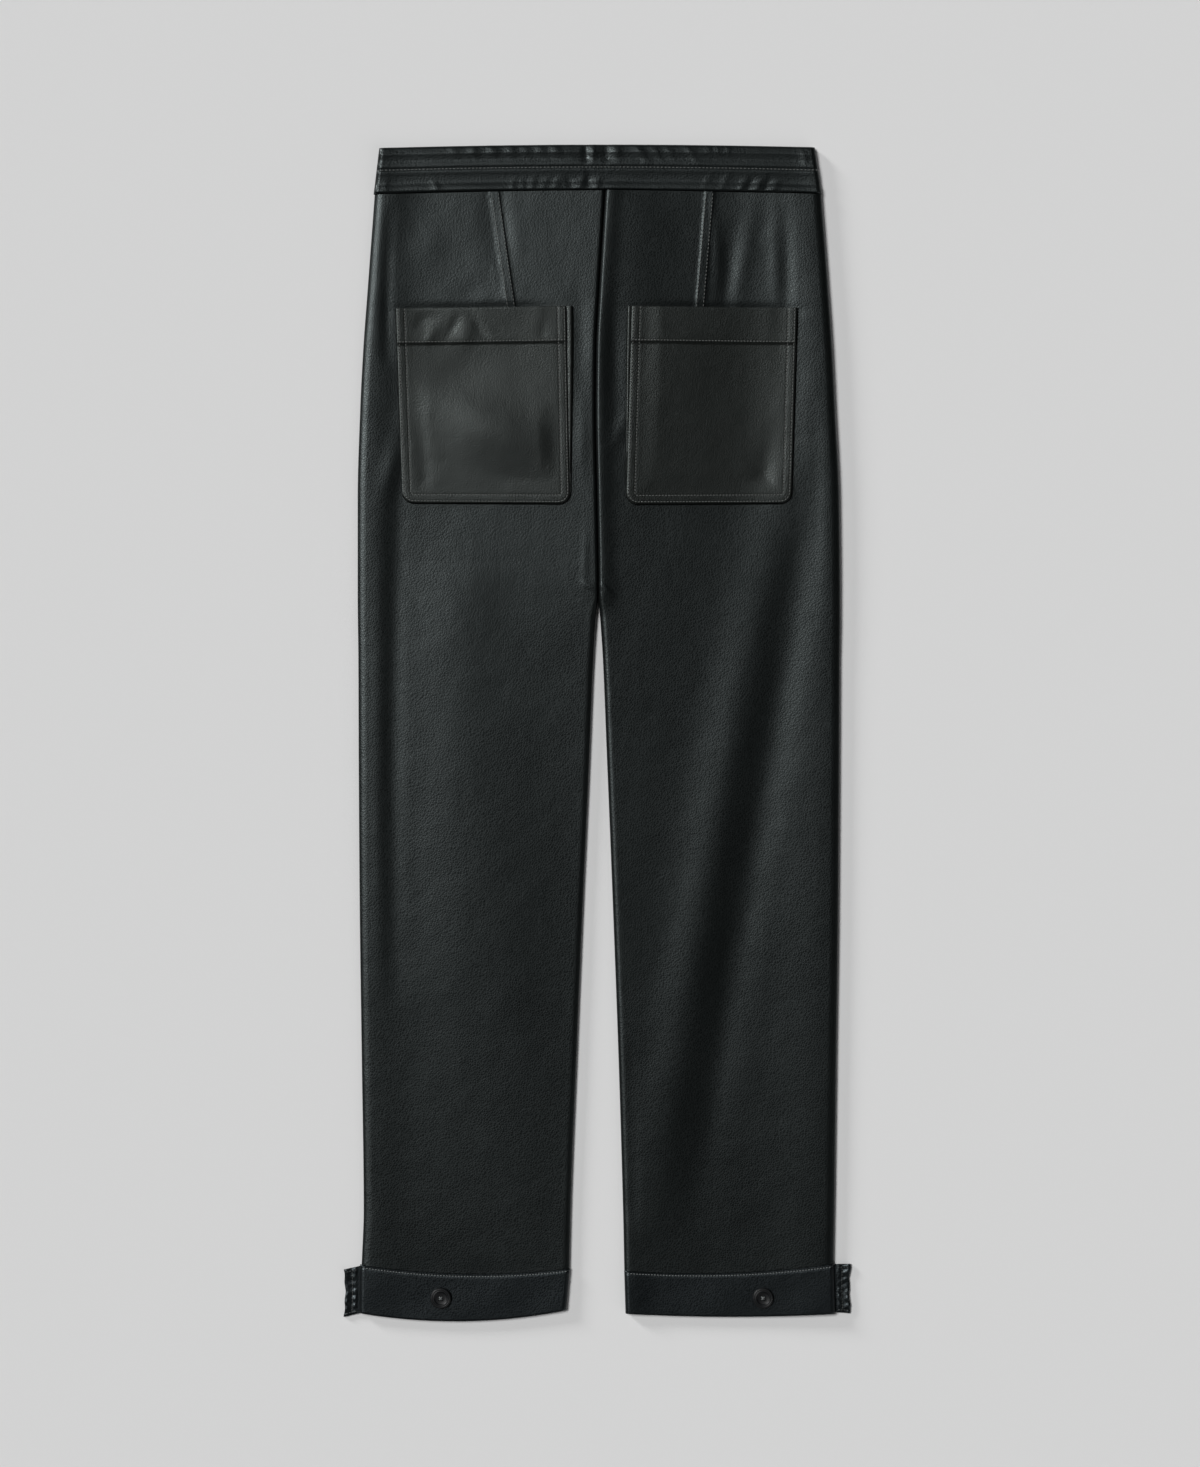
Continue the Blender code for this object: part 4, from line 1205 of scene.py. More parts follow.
    def dart_stitches(self, finishes: Wardrobe) -> bpy.types.Object:
        """The two rows of stitches that hold the dart's felled strip.

        Args:
            finishes: the garment's materials.

        Returns:
            The piece.
        """
        y = np.linspace(FORM.waist_y - 1, FORM.darts[self.side][3] - 4, 60)
        line = FORM.dart_line(self.side, y)
        stitches = Stitching()
        away = FORM.dart_half - self.dart_stitch_in
        stitches.row(self.place, line - away, y).row(self.place, line + away, y)
        made = stitches.build(f"dart_stitches_{self.side.value}", finishes.dark_thread_with_painted_highlight)
        return wear(made, "faux_leather")


@dataclass
class FrontLeg:
    """A front leg panel, which lies flat on the surface under the back."""

    side: Side
    rows: int = 160
    columns: int = 60
    wrap_clearance: float = 0.5
    lift: float = 0.35
    full_lift_fold: float = 3.0
    flat_rim: float = 0.1

    def build(self, finishes: Wardrobe) -> bpy.types.Object:
        """The panel: a plate whose lower face is the one that shows.

        Args:
            finishes: the garment's materials.

        Returns:
            The piece.
        """
        way = self.side.inward
        y = np.linspace(FORM.waist_y, FORM.cuff_y, self.rows)
        share = FORM.leg_share(y)
        outer = FORM.outer_edge(self.side, y) + way * (FORM.outer_roll_reach + FORM.seam)
        wrap = FORM.inner_reach(y) * (1 - np.cos(np.radians(90 * share)))
        gap = FORM.seam * share + self.wrap_clearance * np.sin(math.pi * share)
        inner = FORM.inner_edge(self.side, y) - way * (wrap + gap)
        across = np.linspace(0, 1, self.columns)
        x = outer[:, None] + (inner - outer)[:, None] * across
        leg = BackLeg(self.side)
        warped = leg.warp(x, np.broadcast_to(y[:, None], x.shape))
        folds = np.abs(relief_of(FORM.folds, x, y[:, None]))
        near_rim = step_up(np.minimum(across, 1 - across) / self.flat_rim)
        soft = self.lift * np.clip(folds / self.full_lift_fold, 0, 1) * near_rim
        below = np.stack([x, warped, soft], axis=-1)
        above = np.stack([x, warped, np.full_like(x, FORM.cloth)], axis=-1)
        name = f"front_leg_{self.side.value}"
        made = cloth_wall(name, below, above, (finishes.leather, finishes.backing))
        return wear(made, "faux_leather", f"front_panel_{self.side.value}")


@dataclass
class Waistband:
    """The waistband: a doubled back stitched along its middle, and two plain front halves."""

    columns: int = 360
    rows: int = 52
    row_crowding: float = 0.35
    front_grid: tuple[int, int] = (16, 80)
    front_rim: float = 0.5
    stitch_inset: float = 3.0
    roll_steps: int = 14
    roll_reach: float = 4.5
    roll_height: float = 7.6
    face_height: float = 6.6
    depth: float = 40.0
    sag: float = 16.0
    left: tuple[float, float] = (-196.7, -191.8)
    right: tuple[float, float] = (197.6, 191.4)
    top: tuple[float, float, float] = (514.2, 514.8, 2.8)
    front_hem_back: float = 1.6
    profile: tuple[tuple[float, float], ...] = (
        # share of the depth from the waist seam up, rise
        (0.0, -1.6),
        (0.015, 0.3),
        (0.05, 0.9),
        (0.11, 0.65),
        (0.22, -0.2),
        (0.34, 0.1),
        (0.455, 0.7),
        (0.475, 0.55),
        (0.505, -0.05),
        (0.54, 0.45),
        (0.575, 0.7),
        (0.62, 0.55),
        (0.69, 0.15),
        (0.78, 0.5),
        (0.84, 0.85),
        (0.90, 0.5),
        (0.95, 0.1),
        (0.98, -0.4),
        (1.0, -1.6),
    )
    stitch_share: float = 0.505
    puckers: tuple[Ripple, ...] = (
        # the upper half: y is the height above the waist seam
        Ripple(-126, 36, 120, 6, 4.0, 0.30),
        Ripple(-109, 36, 118, 6, 4.0, 0.40),
        Ripple(-92, 36, 120, 7, 4.5, 0.50),
        Ripple(-76, 36, 118, 6, 4.0, 0.40),
        Ripple(-63, 36, 120, 6, 3.5, 0.32),
        Ripple(-50, 36, 120, 6, 4.0, 0.40),
        Ripple(-36, 35, 125, 8, 4.5, 0.60),
        Ripple(-25, 33, 110, 8, 5.0, 0.25),
        Ripple(-10, 33, 92, 8, 3.4, -0.90),
        Ripple(-3.5, 33, 84, 7, 3.2, 0.70),
        Ripple(8, 33, 90, 8, 4.0, -0.70),
        Ripple(17, 34, 105, 7, 4.0, 0.55),
        Ripple(38, 33, 128, 10, 3.5, 0.50),
        Ripple(52, 33, 125, 7, 3.0, 0.32),
        Ripple(64, 33, 122, 7, 3.0, 0.28),
        Ripple(83, 32, 125, 9, 3.0, 0.36),
        Ripple(97, 37, 110, 4, 2.5, 0.20),
        Ripple(106, 37, 100, 4, 2.5, 0.20),
        Ripple(115, 36, 100, 4, 2.5, 0.25),
        Ripple(182, 30, 105, 5, 3.0, 0.40),
        # the lower half
        Ripple(-186, 6, 90, 6, 3.0, 0.30),
        Ripple(-160, 5, 10, 12, 3.0, 0.20),
        Ripple(-142, 5, 120, 7, 3.0, 0.32),
        Ripple(-105, 3, 0, 26, 4.0, 0.35),
        Ripple(-74, 5, 80, 6, 3.0, 0.32),
        Ripple(-66, 5, 100, 5, 3.0, 0.25),
        Ripple(-57, 5, 80, 6, 3.0, 0.32),
        Ripple(-46, 6, 60, 6, 3.0, 0.32),
        Ripple(-36, 6, 60, 6, 3.4, 0.40),
        Ripple(-24, 6, 100, 6, 3.0, -0.32),
        Ripple(-15, 5, 70, 6, 3.4, 0.40),
        Ripple(-8, 8, 90, 7, 3.0, -0.50),
        Ripple(0, 5, 80, 6, 3.0, 0.40),
        Ripple(16, 4, 5, 10, 3.0, 0.30),
        Ripple(96, 8, 62, 8, 3.0, 0.20),
        Ripple(112, 8, 60, 8, 3.0, 0.28),
        Ripple(127, 5, 62, 6, 3.0, 0.50),
        Ripple(134, 6, 64, 7, 2.4, -0.35),
        Ripple(141, 5, 62, 6, 3.0, 0.55),
        Ripple(149, 6, 66, 7, 2.4, -0.35),
        Ripple(156, 5, 50, 6, 3.2, 0.45),
        Ripple(172, 4, 0, 14, 3.0, 0.30),
    )

    def ends(self, share: Array) -> tuple[Array, Array]:
        """x of the two ends at a share of the depth, from the waist seam up."""
        left = self.left[0] + (self.left[1] - self.left[0]) * share
        return left, self.right[0] + (self.right[1] - self.right[0]) * share

    def y(self, x: Array, share: Array) -> Array:
        """y inside the band: share 0 at the waist seam, 1 at the top edge."""
        low = FORM.waist_seam_y(x) + FORM.seam / 2
        return low + (bowed(x, *FORM.band_low, *self.top) - low) * share

    def face(self, x: Array, share: Array) -> Array:
        """Height of the outer face: its padded profile, its puckers and the rise to its ends.

        Args:
            x: places across.
            share: places up the band, 0 to 1.

        Returns:
            z of the outer face.
        """
        shares, rises = np.array(self.profile).T
        z = self.face_height + smooth(share, shares, rises)
        z = z + relief_of(self.puckers, x, share * self.depth)
        from_end = np.minimum(x - FORM.band_low[0], FORM.band_low[1] - x)
        return z + (self.roll_height - self.face_height) * bell(from_end / self.sag)

    def place(self, x: Array, share: Array) -> Array:
        """A point of the outer face."""
        x, share = np.broadcast_arrays(x, share)
        return np.stack([x, self.y(x, share), self.face(x, share)], axis=-1)

    def build_back(self, finishes: Wardrobe) -> bpy.types.Object:
        """The back of the band, rolled under at both ends.

        Args:
            finishes: the garment's materials.

        Returns:
            The piece.
        """
        share = crowded(self.rows, self.row_crowding)
        left, right = self.ends(share)
        reach = np.full(len(share), self.roll_reach)
        along = np.linspace(0, 1, self.columns)
        top_x = (left + self.roll_reach)[:, None] + (right - left - 2 * self.roll_reach)[:, None] * along
        top_z = self.face(top_x, share[:, None])
        angles = np.tile(np.linspace(*ROLL_ANGLES, self.roll_steps), (len(share), 1))
        rolls = (
            roll(left, 1, reach, top_z[:, 0], top_z[:, 0] / 2, angles),
            roll(right, -1, reach, top_z[:, -1], top_z[:, -1] / 2, angles[:, ::-1]),
        )
        x = np.concatenate([rolls[0][0], top_x, rolls[1][0]], axis=1)
        z = np.concatenate([rolls[0][1], top_z, rolls[1][1]], axis=1)
        outer = np.stack([x, self.y(x, share[:, None]), z], axis=-1)
        thin = np.zeros_like(outer)
        thin[..., 2] = 1
        thin[:, : self.roll_steps] = rolls[0][2]
        thin[:, -self.roll_steps :] = rolls[1][2]
        level = outer.copy()
        flat = np.minimum(top_z, np.maximum(self.face_height, top_z.mean(axis=0)))
        level[:, self.roll_steps : -self.roll_steps, 2] = flat
        inner = level - FORM.band_cloth * thin
        made = cloth_wall("back_band", outer, inner, (finishes.band, finishes.backing))
        return wear(made, "faux_leather", "waistband_back")

    def build_front(self, side: Side, finishes: Wardrobe) -> bpy.types.Object:
        """Half of the front of the band, flat on the surface.

        Args:
            side: which half.
            finishes: the garment's materials.

        Returns:
            The piece.
        """
        rows, columns = self.front_grid
        share = np.linspace(0, 1, rows)
        way = side.inward
        outer = self.ends(share)[0 if side is Side.LEFT else 1] + way * (self.roll_reach + FORM.seam)
        inner = np.full(len(share), FORM.stations[0][2] - way * FORM.seam / 2)
        x = outer[:, None] + (inner - outer)[:, None] * np.linspace(0, 1, columns)
        y = self.y(x, share[:, None]) - self.front_hem_back * share[:, None]
        rounded = rounded_rim(share, self.front_rim)[:, None] * np.ones_like(x)
        below = np.stack([x, y, rounded], axis=-1)
        above = np.stack([x, y, FORM.band_cloth - rounded], axis=-1)
        made = cloth_wall(f"front_band_{side.value}", below, above, (finishes.band, finishes.backing))
        return wear(made, "faux_leather", f"waistband_front_{side.value}")

    def stitches(self, finishes: Wardrobe) -> bpy.types.Object:
        """The row along the middle of the band, between its two channels."""
        x = np.linspace(self.left[0] + self.stitch_inset, self.right[0] - self.stitch_inset, 240)
        stitches = Stitching().row(self.place, x, np.full_like(x, self.stitch_share))
        made = stitches.build("band_stitches", finishes.dark_thread_with_painted_highlight)
        return wear(made, "faux_leather")


@dataclass
class Pocket:
    """A patch pocket: the patch with its turned mouth, and the folded gusset under its edge.

    top and bottom are x and y of the left corner, then of the right one. gusset_out is how far the
    gusset shows past the patch at its left side, bottom and right side.
    """

    side: Side
    leg: BackLeg
    top: tuple[float, float, float, float]
    bottom: tuple[float, float, float, float]
    gusset_out: tuple[float, float, float]
    waves: tuple[Ripple, ...]
    corner: float = 10.0
    depth: float = 171.2
    band: float = 31.5
    band_rise: float = 0.8
    band_edge: float = 2.0
    lift: float = 2.6
    rest: float = 2.3
    fall: tuple[float, float] = (9.0, 44.0)
    settle: float = 18.0
    gusset_thick: float = 2.0
    gusset_reach: float = 8.0
    gusset_columns: int = 14
    gusset_line_points: int = 70
    gusset_turn_share: float = 0.42
    gusset_round_share: float = 0.12
    gusset_round: float = 0.9
    gusset_crease: tuple[float, float] = (0.25, 9.0)
    stitch_in: tuple[float, float] = (1.6, 7.2)
    mouth_stitch_up: float = 1.8
    groove: float = 0.11
    groove_width: float = 0.8
    side_round: float = 0.35
    mouth_round: float = 0.3
    round_reach: float = 0.9
    clearance: float = 0.25
    rows: int = 150
    low_rows: tuple[int, int] = (12, 24)
    columns: int = 130
    column_crowding: float = 0.55

    def corners(self) -> list[Array]:
        """The patch's plan corners: top left, top right, bottom left, bottom right."""
        pairs = (self.top[:2], self.top[2:], self.bottom[:2], self.bottom[2:])
        return [np.array(pair, float) for pair in pairs]

    def inside(self, x: Array, y: Array) -> Array:
        """How far a plan point lies inside the patch's sides and bottom, round its corners too.

        Args:
            x: places across.
            y: places along.

        Returns:
            The distance to the nearest edge, in millimetres.
        """
        top_left, top_right, low_left, low_right = self.corners()
        t = (top_left[1] - y) / (top_left[1] - low_left[1])
        from_left = x - (top_left[0] + (low_left[0] - top_left[0]) * t)
        from_right = top_right[0] + (low_right[0] - top_right[0]) * t - x
        from_side = np.minimum(from_left, from_right)
        from_low = y - slanted(x, low_left, low_right)
        into = [np.maximum(self.corner - near, 0) for near in (from_side, from_low)]
        rounded = self.corner - np.hypot(*into)
        return np.where((into[0] > 0) & (into[1] > 0), rounded, np.minimum(from_side, from_low))

    def down(self, x: Array, y: Array) -> Array:
        """How far a plan point lies below the pocket's mouth."""
        top_left, top_right = self.corners()[:2]
        return slanted(x, top_left, top_right) - y

    def under(self, x: Array, y: Array) -> Array:
        """Height of the patch's lower face: on the gusset at its edge, and near the leg in its middle.

        Args:
            x: places across.
            y: places along.

        Returns:
            z of the lower face.
        """
        inside = self.inside(x, y)
        fall = step_up((inside - self.fall[0]) / (self.fall[1] - self.fall[0]))
        near_middle = step_up((inside - self.fall[0]) / self.settle)
        lift = self.lift + (self.rest - self.lift) * fall
        laid = FORM.height(self.side, x, y, dart=False) + lift + relief_of(self.waves, x, y) * near_middle
        return np.maximum(laid, self.leg.face(x, y) + self.clearance)

    def face(self, x: Array, y: Array) -> Array:
        """Height of the patch's outer face, with its turned mouth and its stitched grooves.

        Args:
            x: places across.
            y: places along.

        Returns:
            z of the outer face.
        """
        inside, down = self.inside(x, y), self.down(x, y)
        z = self.under(x, y) + FORM.cloth
        z = z + self.band_rise * (1 - step_up((down - self.band) / self.band_edge + 0.5))
        for at in self.stitch_in:
            z = z - self.groove * bell((inside - at) / self.groove_width)
        from_row = down - self.band + self.mouth_stitch_up
        z = z - self.groove * bell(from_row / self.groove_width) * step_up(inside / 3)
        z = z - self.side_round * (1 - step_up(inside / self.round_reach))
        return z - self.mouth_round * (1 - step_up(down / self.round_reach))

    def place(self, x: Array, y: Array) -> Array:
        """A point of the outer face."""
        x, y = np.broadcast_arrays(x, y)
        return np.stack([x, y, self.face(x, y)], axis=-1)

    def plan(self) -> tuple[Array, Array]:
        """Plan points of the patch, rows from the mouth down, drawn in at its round corners.

        Returns:
            x and y of the points.
        """
        top_left, top_right, low_left, low_right = self.corners()
        even_rows = np.linspace(0, 1, self.rows)
        coarse, fine = self.low_rows
        # The last rows are set closer, for the round corners.
        down = np.concatenate([even_rows[:-coarse], np.linspace(even_rows[-coarse], 1, fine)]) * self.depth
        share = (down / self.depth)[:, None]
        left, right = top_left + (low_left - top_left) * share, top_right + (low_right - top_right) * share
        into_corner = np.clip(down - (self.depth - self.corner), 0, self.corner)
        drawn = self.corner - np.sqrt(self.corner**2 - into_corner**2)
        width = np.linalg.norm(right - left, axis=1)
        across = crowded(self.columns, self.column_crowding)
        shares = (drawn[:, None] + across * (width - 2 * drawn)[:, None]) / width[:, None]
        points = left[:, None] + (right - left)[:, None] * shares[..., None]
        return points[..., 0], points[..., 1]

    def build_patch(self, finishes: Wardrobe) -> bpy.types.Object:
        """The patch itself.

        Args:
            finishes: the garment's materials.

        Returns:
            The piece.
        """
        x, y = self.plan()
        under = np.stack([x, y, self.under(x, y)], axis=-1)
        name = f"patch_{self.side.value}"
        made = cloth_wall(name, self.place(x, y), under, (finishes.pocket, finishes.backing))
        return wear(made, "pocket_leather", f"pocket_{self.side.value}")

    def edge_line(self, inset: float, count: int = 60) -> tuple[Array, Array]:
        """A plan line round the patch's left side, bottom and right side.

        Args:
            inset: how far inside the edge it runs.
            count: points on each straight stretch.

        Returns:
            x and y along the line.
        """
        top_left, top_right, low_left, low_right = self.corners()
        turn = np.linspace(0, math.pi / 2, 12)
        radius = self.corner - inset
        centres = (low_left + [self.corner, self.corner], low_right + [-self.corner, self.corner])
        round_left = centres[0] - radius * np.stack([np.cos(turn), np.sin(turn)], axis=-1)
        round_right = centres[1] + radius * np.stack([np.sin(turn), -np.cos(turn)], axis=-1)
        t = np.linspace(0, 1, count)[:, None]
        down = (top_left + [inset, 0]) * (1 - t) + round_left[0] * t
        along = round_left[-1] * (1 - t) + round_right[0] * t
        up = round_right[-1] * (1 - t) + (top_right - [inset, 0]) * t
        line = np.concatenate([down, round_left[1:], along[1:], round_right[1:], up[1:]])
        return line[:, 0], line[:, 1]

    def build_gusset(self, finishes: Wardrobe) -> bpy.types.Object:
        """The folded strip under the patch's edge, rounded where it shows beside the patch.

        Args:
            finishes: the garment's materials.

        Returns:
            The piece.
        """
        x, y = self.edge_line(0.0, self.gusset_line_points)
        path = np.stack([x, y], axis=-1)
        ahead = unit(np.gradient(path, axis=0))
        out = np.stack([ahead[:, 1], -ahead[:, 0]], axis=-1)
        share = np.concatenate([[0], np.cumsum(np.linalg.norm(np.diff(path, axis=0), axis=1))])
        share = share / share[-1]
        left_out, low_out, right_out = self.gusset_out
        shows = low_out + (left_out - low_out) * (1 - step_up(share / self.gusset_turn_share))
        shows = shows + (right_out - low_out) * (1 - step_up((1 - share) / self.gusset_turn_share))
        across = np.linspace(0, 1, self.gusset_columns)
        away = shows[:, None] - (shows + self.gusset_reach)[:, None] * across
        plan = path[:, None] + out[:, None] * away[..., None]
        height, turns = self.gusset_crease
        crease = height * np.sin(across * turns)[None] * step_up((away + 1) / 3)
        near_rim = 1 - across / self.gusset_round_share
        rounding = (self.gusset_thick / 2) * (1 - np.sqrt(np.clip(1 - near_rim**2, 0, 1)))
        rounding = self.gusset_round * np.where(near_rim > 0, rounding, 0)[None]
        laid = FORM.height(self.side, plan[..., 0], plan[..., 1], dart=False)
        base = np.maximum(laid, self.leg.face(plan[..., 0], plan[..., 1])) + self.clearance
        top = base + self.gusset_thick + crease - rounding
        inner = np.concatenate([plan, (base + rounding)[..., None]], axis=-1)
        outer = np.concatenate([plan, top[..., None]], axis=-1)
        made = cloth_wall(f"fold_{self.side.value}", outer, inner, (finishes.pocket, finishes.pocket))
        return wear(made, "pocket_leather", f"gusset_{self.side.value}")

    def stitches(self, finishes: Wardrobe) -> bpy.types.Object:
        """The twin rows round the edge and the row under the mouth.

        Args:
            finishes: the garment's materials.

        Returns:
            The piece.
        """
        stitches = Stitching(pitch=2.8, length=2.1)
        for inset in self.stitch_in:
            stitches.row(self.place, *self.edge_line(inset))
        top_left, top_right = self.corners()[:2]
        x = np.linspace(top_left[0] + 2, top_right[0] - 2, 90)
        y = slanted(x, top_left, top_right)
        stitches.row(self.place, x, y - self.band + self.mouth_stitch_up)
        made = stitches.build(f"pocket_stitches_{self.side.value}", finishes.dark_thread_with_painted_highlight)
        return wear(made, "pocket_leather")


@dataclass
class Cuff:
    """A buttoned cuff: its back, its front, the tab that reaches past the side, and the button."""

    side: Side
    tip_x: float
    root_y: tuple[float, float]
    tip_y: tuple[float, float]
    button_at: tuple[float, float]
    tab_root: float = 3.4
    tab_bulge: float = 1.2
    columns: int = 150
    rows: int = 34
    row_crowding: float = 0.7
    roll_steps: tuple[int, int] = (10, 14)
    hem_back: float = 1.6
    front_grid: tuple[int, int] = (16, 60)
    front_rim: float = 0.4
    free_angles: tuple[float, float] = (-8.0, 84.0)
    wave_height: float = 0.18
    wave_length: float = 17.0
    stitch_share: float = 0.05
    groove: float = 0.35
    groove_width: float = 0.02
    seam_round: tuple[float, float] = (0.7, 0.025)
    hem_round: tuple[float, float] = (0.6, 0.03)
    tab_grid: tuple[int, int] = (40, 90)
    tab_tip_wave: tuple[float, float] = (0.35, 17.0)
    tab_free: tuple[float, float] = (0.3, 0.2)
    tab_crease: float = 1.1
    tab_crumple: float = 0.22
    tab_round: float = 0.5
    tab_lift: float = 0.6
    button_sides: int = 72
    rim: tuple[tuple[float, float], ...] = (
        # radius, height above the button's rest
        (2.6, 2.05),
        (4.9, 2.1),
        (5.3, 2.3),
        (5.7, 2.9),
        (6.1, 3.15),
        (6.5, 3.2),
        (6.9, 3.05),
        (7.1, 2.95),
        (7.3, 3.05),
        (7.8, 3.2),
        (8.4, 3.0),
        (8.9, 2.5),
        (9.2, 1.8),
        (9.2, 1.1),
        (8.8, 0.4),
        (8.0, 0.0),
    )
    hole_pitch: float = 1.9
    hole_radius: float = 0.95
    drill_sides: int = 20
    drill_span: tuple[float, float] = (-12.0, 4.0)
    thread_below_top: float = 1.15
    thread_rise: float = 0.55
    thread_cross: float = 0.45
    thread_drop: float = 1.2
    thread_apart: float = 0.28
    thread_radius: float = 0.26

    @property
    def form(self) -> CuffForm:
        """The cuff's own edges."""
        return CUFFS[self.side]

    def face(self, x: Array, share: Array) -> Array:
        """Height of the outer face: the form, a soft wave, and a groove along the top stitching.

        Args:
            x: places across.
            share: places down the cuff, 0 to 1.

        Returns:
            z of the outer face.
        """
        wave = self.wave_height * np.sin(x / self.wave_length + 2 * share) * np.sin(math.pi * share)
        groove = self.groove * bell((share - self.stitch_share) / self.groove_width)
        edge = self.seam_round[0] * (1 - step_up(share / self.seam_round[1]))
        edge = edge + self.hem_round[0] * (1 - step_up((1 - share) / self.hem_round[1]))
        return self.form.face(x, share) + wave - groove - edge

    def place(self, x: Array, share: Array) -> Array:
        """A point of the outer face."""
        x, share = np.broadcast_arrays(x, share)
        return np.stack([x, self.form.y(x, share), self.face(x, share)], axis=-1)

    def build_back(self, finishes: Wardrobe) -> bpy.types.Object:
        """The back of the cuff. Its outer end is free above the tab, and its inner end wraps under.

        Args:
            finishes: the garment's materials.

        Returns:
            The piece.
        """
        form, way = self.form, self.side.inward
        share = crowded(self.rows, self.row_crowding)
        outer, inner = form.edge(form.outer, share), form.edge(form.inner, share)
        reach = np.full(len(share), form.reach)
        start, end = outer + way * form.reach, inner - way * form.reach
        top_x = start[:, None] + (end - start)[:, None] * np.linspace(0, 1, self.columns)
        top_z = self.face(top_x, share[:, None])
        plain_z = form.face(top_x, share[:, None])
        free_steps, under_steps = self.roll_steps
        free = np.tile(np.linspace(*self.free_angles, free_steps), (len(share), 1))
        under = np.tile(np.linspace(*ROLL_ANGLES[::-1], under_steps), (len(share), 1))
        rolls = (
            roll(outer, way, reach, top_z[:, 0], plain_z[:, 0] / 2, free),
            roll(inner, -way, reach, top_z[:, -1], top_z[:, -1] / 2, under),
        )
        x = np.concatenate([rolls[0][0], top_x, rolls[1][0]], axis=1)
        z = np.concatenate([rolls[0][1], top_z, rolls[1][1]], axis=1)
        plain = np.concatenate([rolls[0][1], plain_z, rolls[1][1]], axis=1)
        points = np.stack([x, form.y(x, share[:, None]), z], axis=-1)
        level = np.stack([x, points[..., 1], plain], axis=-1)
        normals = grid_normals(level)
        normals[:, :free_steps] = rolls[0][2]
        normals[:, -under_steps:] = rolls[1][2]
        normals[..., 1] = 0
        inside = level - FORM.cuff_cloth * unit(normals)
        name = f"back_cuff_{self.side.value}"
        made = cloth_wall(name, points, inside, (finishes.cuff, finishes.backing))
        return wear(made, "faux_leather", f"cuff_back_{self.side.value}")

    def build_front(self, finishes: Wardrobe) -> bpy.types.Object:
        """The front of the cuff, flat on the surface.

        Args:
            finishes: the garment's materials.

        Returns:
            The piece.
        """
        form, way = self.form, self.side.inward
        rows, columns = self.front_grid
        share = np.linspace(0, 1, rows)
        outer = form.edge(form.outer, share) + way * (self.tab_root + FORM.seam)
        inner = form.edge(form.inner, share) - way * (form.reach + FORM.seam)
        x = outer[:, None] + (inner - outer)[:, None] * np.linspace(0, 1, columns)
        y = form.y(x, share[:, None]) + self.hem_back * share[:, None]
        rounded = rounded_rim(share, self.front_rim)[:, None] * np.ones_like(x)
        below = np.stack([x, y, rounded], axis=-1)
        above = np.stack([x, y, FORM.cuff_cloth - rounded], axis=-1)
        made = cloth_wall(f"front_cuff_{self.side.value}", below, above, (finishes.cuff, finishes.backing))
        return wear(made, "faux_leather", f"cuff_front_{self.side.value}")

    def tab_place(self, out: Array, down: Array) -> Array:
        """A point of the tab's upper face, from its root out and from its top down.

        Args:
            out: 0 at the root, 1 at the tip.
            down: 0 at the upper edge, 1 at the lower.

        Returns:
            The points.
        """
        out, down = np.broadcast_arrays(out, down)
        way, form = self.side.inward, self.form
        root_x = form.edge(form.outer, down) + way * self.tab_root
        top = self.root_y[0] + (self.tip_y[0] - self.root_y[0]) * out
        low = self.root_y[1] + (self.tip_y[1] - self.root_y[1]) * out
        x = root_x + (self.tip_x - root_x) * out + way * self.tab_bulge * np.sin(down * math.pi) * out
        height, turns = self.tab_tip_wave
        x = x + height * np.sin(down * turns) * step_up((out - 0.7) / 0.3)
        free_from, free_over = self.tab_free
        beyond = step_up((out - free_from) / free_over)
        crease = self.tab_crease * np.sin(out * math.pi * 1.6) ** 2 * (0.6 + 0.4 * np.cos(down * 9))
        fine = self.tab_crumple * np.sin(down * 41 + 5 * out) * np.sin(out * 6 + down * 3)
        sides, tip = step_up(np.minimum(down, 1 - down) / 0.04), step_up((1 - out) / 0.1)
        edge = self.tab_round * (1 - sides) + self.tab_round * (1 - tip)
        z = FORM.cuff_cloth + (crease + fine) * beyond - edge * beyond
        return np.stack([x, top + (low - top) * down, z], axis=-1)

    def build_tab(self, finishes: Wardrobe) -> bpy.types.Object:
        """The tab, creased where it leaves the cuff.

        Args:
            finishes: the garment's materials.

        Returns:
            The piece.
        """
        columns, rows = self.tab_grid
        out, down = np.linspace(0, 1, columns), np.linspace(0, 1, rows)[:, None]
        upper = self.tab_place(out, down)
        lower = upper.copy()
        lift = np.maximum(upper[..., 2] - FORM.cuff_cloth, 0)
        lower[..., 2] = np.minimum(lift / 2, self.tab_lift)
        made = cloth_wall(f"tab_{self.side.value}", upper, lower, (finishes.cuff, finishes.cuff))
        return wear(made, "faux_leather", f"cuff_tab_{self.side.value}")

